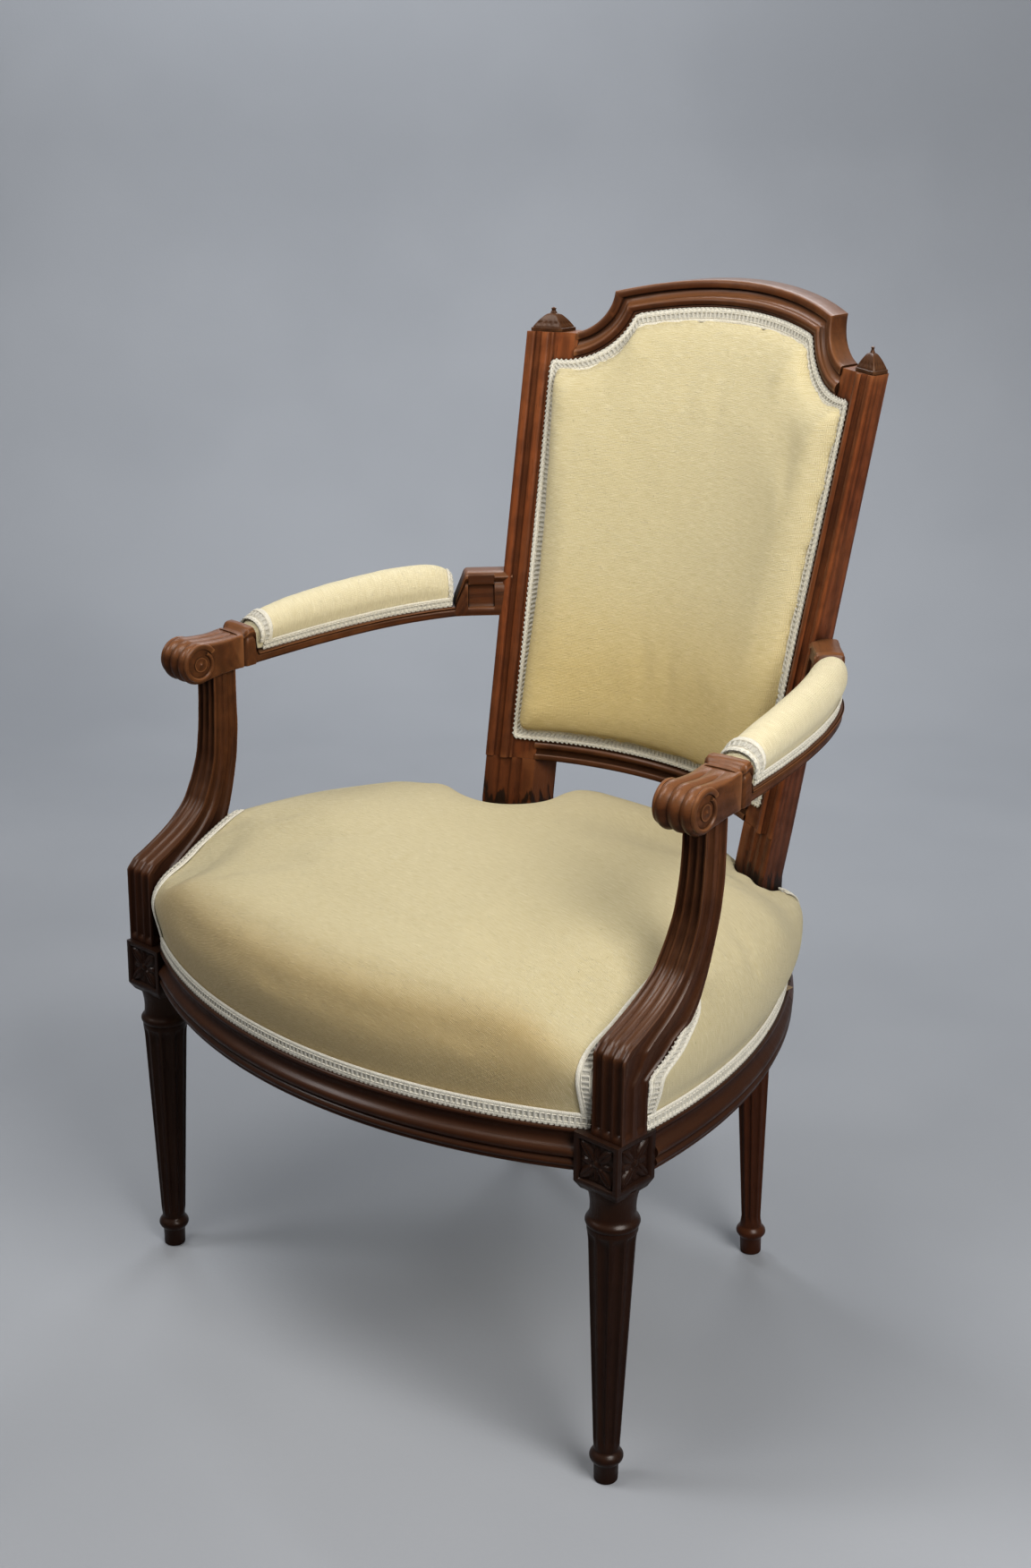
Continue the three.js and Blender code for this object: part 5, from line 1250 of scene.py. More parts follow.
def swell(obj, voxel, cap, held_at, rounds=14):
    """Remesh, blow up a little, keep every point within the cap of where it was, and smooth
    away the wrinkles of the simulation. At last the faces are split once."""
    remesh = obj.modifiers.new("even faces", "REMESH")
    remesh.mode, remesh.voxel_size = "VOXEL", voxel
    apply_modifiers(obj)
    calm_surface(obj, 4)
    start = mesh_points(obj.data)
    held = held_at(to_drawing(start))
    weight_group(obj, "nailed", held)
    step = (blown_up(obj) - start) * (1 - held[:, None])
    length = np.linalg.norm(step, axis=1, keepdims=True)
    step *= np.minimum(1, cap * MM / np.maximum(length, 1e-9))
    set_points(obj.data, start + step)
    weight_group(obj, "free", 1 - held)
    calm_surface(obj, rounds, "free")
    print(obj.name, "swelled by", round(float(length.max()) / MM, 1), "mm before the cap")
    finer = obj.modifiers.new("finer", "SUBSURF")
    finer.levels = finer.render_levels = 1
    apply_modifiers(obj)


def blown_up(obj):
    """Where the points come to rest under the pressure of the stuffing."""
    cloth = obj.modifiers.new("cloth", "CLOTH")
    settings = cloth.settings
    settings.use_pressure, settings.uniform_pressure_force = True, PRESSURE
    settings.vertex_group_mass = "nailed"
    settings.tension_stiffness = settings.compression_stiffness = STIFFNESS
    settings.bending_stiffness = BENDING
    settings.effector_weights.gravity = 0
    cloth.point_cache.frame_start, cloth.point_cache.frame_end = 1, SWELL_FRAMES
    scene = bpy.context.scene
    for frame_number in range(1, SWELL_FRAMES + 1):
        scene.frame_set(frame_number)
    evaluated = obj.evaluated_get(bpy.context.evaluated_depsgraph_get())
    moved = mesh_points(evaluated.to_mesh())
    evaluated.to_mesh_clear()
    obj.modifiers.remove(cloth)
    scene.frame_set(1)
    return moved


def mesh_points(mesh):
    points = np.empty(len(mesh.vertices) * 3, np.float32)
    mesh.vertices.foreach_get("co", points)
    return points.reshape(-1, 3).astype(float)


def set_points(mesh, points):
    mesh.vertices.foreach_set("co", points.astype(np.float32).ravel())
    mesh.update()


def apply_modifiers(obj):
    """Replace an object's mesh by what its modifiers make of it."""
    evaluated = obj.evaluated_get(bpy.context.evaluated_depsgraph_get())
    made = bpy.data.meshes.new_from_object(evaluated)
    made.name = obj.name
    obj.modifiers.clear()
    obj.data = made


def note_weave(obj, place_of):
    """Write where each point lies in the flat cloth, in metres, for the weave."""
    write_vectors(obj.data, "weave", place_of(to_drawing(mesh_points(obj.data))) * MM)


# %% [markdown]
# ## The seat
# The seat is drawn over a firm edge: its border rises nearly straight from the rails, rolls
# over and runs into a low crown that sinks towards the stiles, where the cloth is cut and
# drawn down. Its corners are cut out for the arm supports, and slots are left for the stiles.

# %% Rim and dome of the seat
SEAT_BASE, SEAT_CROWN, BORDER_INSET = RAIL_TOP + JOINT, 137, 8
STILE_DIPS, SUPPORT_DIP, DIP_REACH, SEAT_CENTRE_FORWARD = (62, 26), 24, 96, 70
REAR_CROWN, REAR_CROWN_HALF = 12, 110
NOTCH_CLEARANCE = 0.8


def even_places(targets, lengths, points):
    """Points at some distances along a line, whose own points lie at these lengths."""
    return np.stack([np.interp(targets, lengths, column) for column in points.T], 1)


def seat_rim(count=220):
    """Even points round the edge of the rails."""
    front = [(x, front_arc(x)) for x in np.linspace(0, LEG_SPREAD + BLOCK_WIDTH / 4, 40)]
    side_start = -LEG_FORWARD + BLOCK_DEPTH / 4
    side = [(side_arc(y), y) for y in np.linspace(side_start, REAR_BLOCK_BACK - BORDER_INSET, 40)]
    corner = side_arc(REAR_BLOCK_BACK) - BORDER_INSET
    rear = [(x, min(rear_arc(x), REAR_BLOCK_BACK)) for x in np.linspace(corner, 0, 30)]
    half = front + side + rear
    whole = np.array(half + [(-x, y) for x, y in half[-2::-1]])
    lengths = travel_along(whole)
    return even_places(np.linspace(0, lengths[-1], count + 1)[:-1], lengths, whole)


RIM = seat_rim()
RIM_OUT = unit_rows(RIM + (0, SEAT_CENTRE_FORWARD))
RIM_SIDEWAYS = smooth_step(RIM[:, 1], -FRONT_REACH * 0.85, -SIDE_WIDEST * 0.6)
RIM_REARWARD = smooth_step(RIM[:, 1], 100, 215) * (1 - smooth_step(np.abs(RIM[:, 0]), 90, 160))

# Each pair is a place outwards, in insets of the border, and a share of the crown's height.
FRONT_BORDER = np.array([
    [-1, 0], [-1, 0.105], [-0.5, 0.2], [-0.1, 0.33], [0.0, 0.46], [-0.35, 0.565], [-1.7, 0.652],
    [-4.4, 0.70], [-10.5, 0.785]])
SIDE_BORDER = np.array([
    [-1, 0], [-1, 0.105], [0.0, 0.2], [0.55, 0.34], [0.45, 0.49], [-0.4, 0.61], [-2.0, 0.705],
    [-4.6, 0.775], [-9.4, 0.865]])
REAR_BORDER = np.array([
    [-1, 0], [-1, 0.105], [0.0, 0.2], [0.55, 0.34], [0.5, 0.51], [-0.1, 0.69], [-1.3, 0.84],
    [-3.5, 0.935], [-8.6, 0.985]])


def finer_line(points, count):
    """A smooth line through points, by Catmull-Rom."""
    padded = np.r_[[2 * points[0] - points[1]], points, [2 * points[-1] - points[-2]]]
    line = []
    for place in np.linspace(0, len(points) - 1 - 1e-9, count):
        i, t = int(place), place % 1
        a, b, c, d = padded[i:i + 4]
        line.append(0.5 * (2 * b + (c - a) * t + (2 * a - 5 * b + 4 * c - d) * t * t
                           + (3 * b - a - 3 * c + d) * t ** 3))
    return np.array(line)


def stile_dip(x, y):
    """How far the seat is drawn down at the stiles and in a valley that runs in from them."""
    before = np.maximum(REAR_BLOCK_FRONT - y, 0)
    inside = np.maximum(STILE_OUTER - MEMBER / 2 - np.abs(x), 0)
    depth = blend(STILE_DIPS[0], STILE_DIPS[1], smooth_step(x, -60, 60))
    off_valley = (inside - before) * np.where(inside > before, 0.80, 1.05)
    away = np.hypot(off_valley, 0.40 * (inside + before))
    return depth * (1 - smooth_step(away, 4, DIP_REACH))


def support_dip(x, y):
    """How far the roll of the seat comes down beside the arm supports."""
    away = np.hypot(np.abs(x) - STUMP_INNER + 6, y + STUMP_FRONT - 18)
    return SUPPORT_DIP * (1 - smooth_step(away, 8, 85))


def seat_place(x, y, rise):
    """Points of the cover, with its dips and its fuller rear middle."""
    fuller = (REAR_CROWN * np.exp(-(x / REAR_CROWN_HALF) ** 2) * smooth_step(y, 0, 180)
              * smooth_step(rise, 0.5, 0.95))
    sunk = (stile_dip(x, y) * smooth_step(rise, 0.1, 0.8)
            + support_dip(x, y) * smooth_step(rise, 0.2, 0.6))
    return np.c_[x, y, SEAT_BASE + rise * SEAT_CROWN - sunk + fuller]


def seat_dome():
    """The closed form of the seat: its base, its border and its crown."""
    base = RIM - RIM_OUT * BORDER_INSET
    rings = [np.c_[base * share, np.full(len(RIM), SEAT_BASE)] for share in (0.02, 0.3, 0.6, 0.85)]
    borders = (finer_line(border, 30) for border in (FRONT_BORDER, SIDE_BORDER, REAR_BORDER))
    for front, side, rear in zip(*borders):
        move, rise = (blend(blend(front[k], side[k], RIM_SIDEWAYS), rear[k], RIM_REARWARD)
                      for k in (0, 1))
        rings.append(seat_place(*(RIM + RIM_OUT * move[:, None] * BORDER_INSET).T, rise))
    edge = rings[-1][:, :2] + (0, SEAT_CENTRE_FORWARD)
    for share in np.linspace(1, 0.02, 24)[1:]:
        over = 1 - (1 - rise) * share ** 2.2
        rings.append(seat_place(*(edge * share - (0, SEAT_CENTRE_FORWARD)).T, over))
    return loft(rings)


# %% Cutters for the supports and the stiles
def support_notch(air):
    """Room for a support, with a little air round it."""
    height = ARM_END_Z - RAIL_TOP
    rear = [(air - blend(STUMP_REAR, SUPPORT_TOP_REAR, share),
             RAIL_TOP + JOINT + rise * height - air * 0.4) for rise, _, share in SWEEP[:-1]]
    rear[0] = (rear[0][0], rear[0][1] - 3)
    line = [(-400, rear[0][1]), *rear, (-400, rear[-1][1])]
    return loft([[(x, y, z) for y, z in line] for x in (STUMP_INNER - air, STUMP_INNER + 100)])


def stile_slot(air):
    """Room for a stile, open to the rear."""
    rings = []
    for z in (RAIL_TOP - 3, RAKE_START, RAIL_TOP + SEAT_CROWN):
        ring = []
        for across in (-air, MEMBER / 2, MEMBER + air):
            x = stile_outer(z) - across
            ring.append((x, back_face(x, z) - air, z))
        ring += [(x, y + back_thickness(z) + 30, z) for x, y, z in reversed(ring)]
        rings.append(ring)
    return loft(rings)


def cut_for_frame(obj):
    """Cut an object out round both supports and both stiles, one cut after the other."""
    notch, slot = support_notch(NOTCH_CLEARANCE), stile_slot(NOTCH_CLEARANCE)
    for skin in (notch, mirror(notch), slot, mirror(slot)):
        cutter = mesh_object("cutter", [skin])
        cut = obj.modifiers.new("cut", "BOOLEAN")
        cut.operation, cut.solver, cut.object = "DIFFERENCE", "EXACT", cutter
        apply_modifiers(obj)
        bpy.data.objects.remove(cutter)


seat_pad = mesh_object("seat_pad", [seat_dome()])
cut_for_frame(seat_pad)


def seat_held(points):
    """1 where the cover is nailed or cut, falling to 0 over the open seat."""
    low = 1 - smooth_step(points[:, 2], SEAT_BASE + 16, SEAT_BASE + 40)
    aside = np.abs(points[:, 0])
    stile = np.hypot(aside - (STILE_OUTER - MEMBER / 2), points[:, 1] - REAR_BLOCK_FRONT - 12)
    near_stile = 1 - smooth_step(stile, 32, 70)
    support = np.hypot(np.maximum(STUMP_INNER - aside, 0), np.maximum(points[:, 1] + 215, 0))
    near_support = 1 - smooth_step(support, 6, 40)
    return np.maximum.reduce([low, near_stile, near_support])


swell(seat_pad, voxel=0.005, cap=3, held_at=seat_held, rounds=4)


def seat_weave(points):
    """Unroll the seat: outwards along the top, then on down the border."""
    from_centre = points[:, :2] + (0, SEAT_CENTRE_FORWARD)
    reach = np.linalg.norm(from_centre, axis=1, keepdims=True)
    drop = np.clip(SEAT_BASE + SEAT_CROWN - points[:, 2:], 0, None)
    flat = from_centre * (1 + drop / np.maximum(reach, 60))
    return np.c_[flat, np.zeros(len(points))]


note_weave(seat_pad, seat_weave)
finish_piece(seat_pad, seat_cloth, ["seat_cover", "seat_stuffing"], sharp=CLOTH_ANGLE)

# %% [markdown]
# ## The back, inside and outside
# The inside back is stuffed over webbing and hessian, with a soft roll at its edge and a low
# crown. Its cover lies flat under the braid round it. The outside back is a plain taut panel
# over thin wadding. Both follow the bent face of the frame.

# %% Rim and forms of the back
MOULDED = 0.54
STRIP = MEMBER * MOULDED + 2 * JOINT
PAD_BOTTOM = LOWER_RAIL_BOTTOM + LOWER_RAIL_MOULDING * MOULDED + 2 * JOINT
BACK_CENTRE, BACK_CROWN, REAR_PANEL_CROWN = 650, 34, 10
GIMP_WIDTH, GIMP_THICKNESS, COVER_THICKNESS = 12.5, 2.2, 2
FLANGE, COVER_BASE = GIMP_WIDTH + JOINT, JOINT * 2.6


def back_rim():
    side_x = lambda z: stile_outer(z) - STRIP
    shoulder = NOTCH_HEIGHT - NOTCH_RADIUS - STRIP
    start = math.asin(
        (NOTCH_SPREAD - side_x(shoulder) + 2 * JOINT) / (NOTCH_RADIUS + STRIP))
    bottom = [(x, PAD_BOTTOM) for x in np.linspace(0, side_x(PAD_BOTTOM), 30)]
    sides = [(side_x(z), z) for z in np.linspace(PAD_BOTTOM, shoulder, 40)[1:-1]]
    half = bottom + sides + notch_and_arch(STRIP, start, 24, 24)
    return np.array(half + [(-x, z) for x, z in half[-2:0:-1]])


BACK_RIM = back_rim()
BACK_FROM_CENTRE = BACK_RIM - (0, BACK_CENTRE)
BACK_REACH = np.linalg.norm(BACK_FROM_CENTRE, axis=1)
BACK_OUT = BACK_FROM_CENTRE / BACK_REACH[:, None]


def over_back(places, rise, rearward=False):
    """Points that stand over the face of the back, or over its rear."""
    y = [back_face(x, z) + (back_thickness(z) + rise if rearward else -rise) for x, z in places]
    return np.c_[places[:, 0], y, places[:, 1]]


def back_form(roll, crown, rearward=False):
    """A closed form over the back: its base, a flat border and a roll, given as pairs of a
    distance inside the rim and a rise. From there the form runs on to its crown."""
    rings = [over_back(BACK_FROM_CENTRE * share + (0, BACK_CENTRE), COVER_BASE, rearward)
             for share in (0.02, 0.3, 0.6)]
    for inside, rise in [(MEMBER - STRIP + JOINT, COVER_BASE), (JOINT, COVER_BASE),
                         (JOINT, COVER_THICKNESS), *roll]:
        rings.append(over_back(BACK_RIM - BACK_OUT * inside, rise, rearward))
    last, from_rise = roll[-1]
    edge = BACK_OUT * (BACK_REACH - last)[:, None]
    for share in np.linspace(1, 0.02, 22)[1:]:
        rise = crown - (crown - from_rise) * share ** 2.4
        rings.append(over_back(edge * share + (0, BACK_CENTRE), rise, rearward))
    return loft(rings)


roll = section_line([
    (FLANGE, COVER_THICKNESS, 0), (FLANGE * 1.02, 8, 0.30), (FLANGE * 1.7, 20, 0.12),
    (FLANGE * 3.0, BACK_CROWN * 0.80, 0),
], steps=6)
back_pad = mesh_object("back_pad", [back_form(roll, BACK_CROWN)])


def inside_rim(points):
    """How far inside the rim a point of the back lies, along its own direction."""
    from_centre = points[:, [0, 2]] - (0, BACK_CENTRE)
    angle = np.arctan2(from_centre[:, 1], from_centre[:, 0])
    rim_angle = np.arctan2(BACK_FROM_CENTRE[:, 1], BACK_FROM_CENTRE[:, 0])
    order = np.argsort(rim_angle)
    reach = np.interp(angle, rim_angle[order], BACK_REACH[order], period=math.tau)
    return reach - np.linalg.norm(from_centre, axis=1)


def back_held(points):
    face = np.array([back_face(x, z) for x, z in points[:, [0, 2]]])
    behind = 1 - smooth_step(face - points[:, 1], 1.5, 8)
    return np.maximum(behind, 1 - smooth_step(inside_rim(points), FLANGE, FLANGE + 10))


def back_weave(points):
    """The cloth of the back laid flat, across and up."""
    return points[:, [0, 2, 1]] * (1, 1, 0)


swell(back_pad, voxel=0.004, cap=3, held_at=back_held)
note_weave(back_pad, back_weave)
finish_piece(back_pad, back_cloth, ["back_cover", "back_stuffing"], sharp=CLOTH_ANGLE)

# %% Outside back
rear_roll = section_line([
    (FLANGE, COVER_THICKNESS, 0), (FLANGE * 1.05, 3.4, 0.15),
    (FLANGE * 2.4, REAR_PANEL_CROWN * 0.8, 0),
], steps=5)
rear_panel = mesh_object(
    "outside_back_panel", [back_form(rear_roll, REAR_PANEL_CROWN, rearward=True)])
note_weave(rear_panel, lambda points: back_weave(points) + (0, 0, 1))
finish_piece(rear_panel, back_cloth, ["outside_back_cover"], sharp=CLOTH_ANGLE)

# %% [markdown]
# ## Arm pads
# Each arm has a small pad on its sunk bed: a rounded sausage, full in the middle, drawn down
# at both ends. It is lofted along the arm's bend, swollen like the others, and its weave is
# noted along the arm and round the pad.

# %% Forms of the arm pads
PAD_START, PAD_FINISH, PAD_CROWN, PAD_INSET = 0.28, 0.923, 42.5, 3.5
PAD_CROWN_LINE = np.array([
    [0, 0.62], [0.06, 0.86], [0.2, 0.97], [0.45, 1], [0.72, 0.97], [0.88, 0.9], [0.96, 0.80],
    [0.985, 0.70], [1, 0.58]])
PAD_SECTION = np.array([
    [-1, 0], [-1, 0.26], [-1.36, 0.44], [-1.32, 0.68], [-0.92, 0.89], [-0.34, 0.99]])
PAD_PATH = [arm_place(share) for share in np.linspace(PAD_START, PAD_FINISH, 80)]
PAD_MIDDLE, PAD_HEADING, PAD_ACROSS = (np.array(column) for column in zip(*PAD_PATH))
PAD_HEART, PAD_GIRTH_RADIUS = 14, 20


def pad_ring(along, shrink):
    share = blend(PAD_START, PAD_FINISH, along)
    point, _, across = arm_place(share)
    half = arm_shape(share)[1] / 2 - PAD_INSET
    crown = PAD_CROWN * np.interp(along, PAD_CROWN_LINE[:, 0], PAD_CROWN_LINE[:, 1])
    section = finer_line(PAD_SECTION, 18)
    section = np.r_[section, section[::-1] * (-1, 1)]
    return [point + across * (aside * half * shrink + arm_lean(share) * rise)
            + (0, 0, PAD_BED + JOINT + rise * crown * shrink) for aside, rise in section]


def pad_form():
    places = np.r_[0, 0, np.linspace(0, 1, 60), 1, 1]
    shrinks = np.r_[0.3, 0.75, np.ones(60), 0.75, 0.3]
    return loft([pad_ring(place, shrink) for place, shrink in zip(places, shrinks)])


def beside_path(points, flipped):
    """For each point, the nearest place on the arm's bend and the way from there."""
    points = points * ((-1 if flipped else 1), 1, 1)
    gaps = np.linalg.norm(points[:, None, :2] - PAD_MIDDLE[None, :, :2], axis=2)
    nearest = gaps.argmin(1)
    return nearest, points - PAD_MIDDLE[nearest]


def pad_weave(points, flipped):
    """Unroll a pad: round it, and along the arm's bend."""
    nearest, away = beside_path(points, flipped)
    aside, ahead = ((away * way[nearest]).sum(1) for way in (PAD_ACROSS, PAD_HEADING))
    turned = np.arctan2(aside, away[:, 2] - PAD_BED - PAD_HEART)
    return np.c_[turned * PAD_GIRTH_RADIUS, travel_along(PAD_MIDDLE)[nearest] + ahead,
                 np.zeros(len(points))]


def pad_held(points, flipped):
    lift = beside_path(points, flipped)[1][:, 2] - PAD_BED
    return 1 - smooth_step(lift, 3, 14)


arm_pads = {}
for side, flipped in SIDES:
    pad = mesh_object(f"arm_pad_{side}", [mirror(pad_form()) if flipped else pad_form()])
    swell(pad, voxel=0.003, cap=2.5, held_at=lambda points: pad_held(points, flipped))
    note_weave(pad, lambda points: pad_weave(points, flipped))
    finish_piece(pad, pad_cloth, [f"arm_pad_cover_{side}", f"arm_pad_stuffing_{side}"],
                 sharp=CLOTH_ANGLE)
    arm_pads[side] = pad

# %% [markdown]
# ## Braid
# Gimp is a flat narrow braid that hides nails and raw edges. This one has a plain selvedge
# along each side and close cross stitches between them, like a ladder. The ribbon is a strip
# with one face for each stitch. A small Geometry Nodes tree sets a rounded stitch on every
# face, turned by the directions that the strip carries, and the selvedges are thin cords.

# %% The stitch tree
ladder, given, result = new_group(
    "Ladder stitches",
    [("Strip", "NodeSocketGeometry", None), ("Stitch length", FLOAT, 0.0094),
     ("Stitch width", FLOAT, 0.0012), ("Stitch height", FLOAT, 0.0010),
     ("Thread", "NodeSocketMaterial", None)],
    [("Braid", "NodeSocketGeometry", None)], kind="GeometryNodeTree")
up, across = (
    ladder.add("GeometryNodeInputNamedAttribute", name, data_type="FLOAT_VECTOR")
    .outputs["Attribute"] for name in ("up", "across"))
spots = ladder.add("GeometryNodeMeshToPoints", given.outputs["Strip"], mode="FACES")
turn = ladder.add(
    "FunctionNodeAxesToRotation", up, across, primary_axis="Z", secondary_axis="X")
bar = ladder.wire(ladder.add("GeometryNodeMeshCylinder"), Vertices=8, Radius=0.5, Depth=1.0)
lying = ladder.wire(ladder.add("GeometryNodeTransform"), Geometry=bar.outputs["Mesh"],
                    Rotation=(0, math.pi / 2, 0))
size = ladder.add("ShaderNodeCombineXYZ", *(
    given.outputs["Stitch " + way] for way in ("length", "width", "height")))
shaped = ladder.wire(ladder.add("GeometryNodeTransform"), Geometry=lying.outputs["Geometry"],
                     Scale=size.outputs[0])
smooth = ladder.add("GeometryNodeSetShadeSmooth", shaped.outputs[0])
copies = ladder.wire(ladder.add("GeometryNodeInstanceOnPoints"), Points=spots.outputs[0],
                     Instance=smooth.outputs[0], Rotation=turn.outputs[0])
real = ladder.add("GeometryNodeRealizeInstances", copies.outputs[0])
coloured = ladder.wire(ladder.add("GeometryNodeSetMaterial"), Geometry=real.outputs[0],
                       Material=given.outputs["Thread"])
stitch_tree = close_group(ladder, result, Braid=coloured.outputs[0])


def run_tree(obj, tree, **values):
    modifier = obj.modifiers.new("tree", "NODES")
    modifier.node_group = tree
    for item in tree.interface.items_tree:
        key = item.name.replace(" ", "_")
        if item.item_type == "SOCKET" and item.in_out == "INPUT" and key in values:
            modifier[item.identifier] = values[key]
    apply_modifiers(obj)


# %% Ribbon, stitches and selvedges between two lines
STITCH_PITCH, STITCH_WIDTH, BAND_SHARE, GROUND_INSET = 4.6, 2.6, 0.27, 0.6


def strip_between(outer, inner, up, loop):
    """Even strip between two lines, one cell for each stitch, with its directions."""
    lines = [np.r_[line, line[:1]] if loop else line for line in (outer, inner, up)]
    lengths = travel_along((lines[0] + lines[1]) / 2)
    targets = np.linspace(0, lengths[-1], int(lengths[-1] / STITCH_PITCH) + 1)
    return [even_places(targets, lengths, line) for line in lines]


def selvedge(line, up, width, thick, loop):
    """A flat cord along a line, its back on the line."""
    if loop:
        line, up = line[:-1], up[:-1]
    rings = []
    for point, ahead, lift in zip(line, along_path(line, loop), up):
        lift = unit(lift)
        aside = unit(np.cross(lift, unit(ahead)))
        rings.append([point + aside * width * math.cos(a) + lift * thick * (1 + math.sin(a)) / 2
                      for a in round_angles(8)])
    return loft(rings, loop)


def braid(name, lines, nodes, loop=False):
    """A braid of its ground, two bands on each side, rungs between them and loops at the edge.
    lines holds both edges of each ribbon and the way that its face looks."""
    grounds, bands, rungs, loops = [], [], [], []
    for outer, inner, up in lines:
        outer, inner, up = strip_between(outer, inner, up, loop)
        lift = unit_rows(up)
        step = inner - outer
        width = np.linalg.norm(step, axis=1, keepdims=True)
        side, band = step / width, float(width.mean()) * BAND_SHARE
        near, far = outer + side * GROUND_INSET, inner - side * GROUND_INSET
        rise = lift * GIMP_THICKNESS * 0.3
        body = np.stack([near, far, far + rise, near + rise], 1)
        grounds.append(loft(body[:-1] if loop else body, loop))
        for edge, turn in ((outer, 1), (inner, -1)):
            for move, half, thick in ((band / 2, band / 2, 0.8), (band + 0.4, 0.5, 0.95)):
                middle = edge + side * turn * move
                bands.append(selvedge(middle, lift, half, GIMP_THICKNESS * thick, loop))
        rungs.append((outer + side * band, inner - side * band, lift))
        loops.append((outer - side * 0.25, outer + side * 1.2, lift))
    obj = mesh_object(name, grounds)
    # The ground takes the second finish, its painted shade.
    obj.data.polygons.foreach_set("material_index", [1] * len(obj.data.polygons))
    join_into(obj, mesh_object(name + "_bands", bands))
    join_into(obj, stitch_object(name + "_rungs", rungs, STITCH_WIDTH, 0.9))
    join_into(obj, stitch_object(name + "_loops", loops, STITCH_PITCH * 0.92, 0.8))
    finish_piece(obj, (braid_white, braid_ground), nodes, sharp=BRAID_ANGLE)


def stitch_object(name, strips, stitch_width, thickness):
    """A rounded stitch across each cell of the strips."""
    points, faces, ups, sides, reaches = [], [], [], [], []
    for outer, inner, lift in strips:
        start = len(points)
        raised = lift * GIMP_THICKNESS * thickness * 0.5
        for a, b in zip(outer + raised, inner + raised):
            points += [a, b]
        for i in range(len(outer) - 1):
            k = start + 2 * i
            faces.append((k, k + 1, k + 3, k + 2))
            ups.append((lift[i] + lift[i + 1]) / 2)
            sides.append(unit(inner[i] + inner[i + 1] - outer[i] - outer[i + 1]))
            reaches.append(np.linalg.norm(inner[i] - outer[i]))
    mesh = bpy.data.meshes.new(name)
    mesh.from_pydata(to_frame(points).tolist(), [], faces)
    for label, values in (("up", ups), ("across", sides)):
        write_vectors(mesh, label, values, "FACE")
    obj = linked_object(name, mesh)
    run_tree(obj, stitch_tree, Stitch_length=float(np.mean(reaches) + 0.8) * MM,
             Stitch_width=stitch_width * MM, Stitch_height=GIMP_THICKNESS * thickness * MM,
             Thread=braid_white)
    return obj


def join_into(target, other):
    work = bmesh.new()
    work.from_mesh(target.data)
    work.from_mesh(other.data)
    work.to_mesh(target.data)
    work.free()
    bpy.data.objects.remove(other)


# %% A ribbon laid on a stuffed form
LAID_SHARES = np.linspace(0.25, 1, 5)
RAY, PAST = 150, 24
ROLL_HEART, ROLL_RISE, FOOT_RISE = np.array([0, -195, SEAT_BASE + 62]), 100, GIMP_WIDTH + 0.5


def calm_line(rows, rounds=3):
    for _ in range(rounds):
        rows = np.r_[rows[:1], (rows[:-2] + 2 * rows[1:-1] + rows[2:]) / 4, rows[-1:]]
    return rows


def laid_ribbon(tree, stations, flipped=False):
    """Edges and face directions of a ribbon on a form. A station is two ray starts, one for
    each edge of the ribbon, and the rays' direction; a ray that runs far past its place is
    dropped. Each row of hits gives a straight line across the ribbon, which is then raised
    over whatever swells above it."""
    sign = np.array((-1 if flipped else 1, 1, 1))
    rows, rays = [], []
    for outer, inner, direction in stations:
        direction = unit(direction * sign)
        starts = [Vector(start) for start in to_frame(
            [blend(outer * sign, inner * sign, share) for share in LAID_SHARES])]
        hits = [tree.ray_cast(start, Vector(direction))[0] for start in starts]
        if all(hit and (hit - start).length < (RAY + PAST) * MM
               for hit, start in zip(hits, starts)):
            rows.append(to_drawing(hits))
            rays.append(direction)
    rows = calm_line(np.array(rows))
    share = LAID_SHARES - LAID_SHARES.mean()
    slope = (rows * share[None, :, None]).sum(1) / (share ** 2).sum()
    edge = rows.mean(1) - slope * LAID_SHARES.mean()
    up = np.cross(along_path(rows.mean(1)), slope)
    up *= -np.sign((up * rays).sum(1))[:, None]
    up = calm_line(unit_rows(up))
    line = edge[:, None] + slope[:, None] * LAID_SHARES[None, :, None]
    swollen = ((rows - line) * up[:, None]).sum(2).max(1)
    lift = up * (np.clip(swollen, 0, 2) + 0.3)[:, None]
    return edge + lift, edge + slope + lift, up


def surface_tree(obj):
    return BVHTree.FromObject(obj, bpy.context.evaluated_depsgraph_get())


# %% Braid along the rails
def rail_line(places):
    """Edges of a ribbon that stands on the rails, against the foot of the cover."""
    near = np.array([(x, y, SEAT_BASE) for x, y in places])
    out = np.c_[unit_rows(near[:, :2] + (0, SEAT_CENTRE_FORWARD)), np.zeros(len(near))]
    foot = near + out * (JOINT - BORDER_INSET)
    return foot, foot + (0, 0, GIMP_WIDTH), out


SUPPORT_SIDE = STUMP_INNER - NOTCH_CLEARANCE
front_places = [(x, front_arc(x)) for x in np.linspace(-SUPPORT_SIDE, SUPPORT_SIDE, 60)]
side_places = [(side_arc(y), y) for y in np.linspace(
    -STUMP_REAR + NOTCH_CLEARANCE, REAR_BLOCK_BACK - 2 * BORDER_INSET, 50)]
rear_end = STILE_OUTER - MEMBER - 2 * NOTCH_CLEARANCE
rear_places = [(x, min(rear_arc(x), REAR_BLOCK_BACK)) for x in np.linspace(-rear_end, rear_end, 30)]
side_line = rail_line(side_places)
braid("seat_braid_front", [rail_line(front_places)], ["seat_gimp_front"])
braid("seat_braid_rear", [rail_line(rear_places)], ["seat_gimp_rear"])
braid("seat_braid_side_right", [side_line], ["seat_gimp_side_right"])
braid("seat_braid_side_left", [[part * (-1, 1, 1) for part in side_line]],
      ["seat_gimp_side_left"])


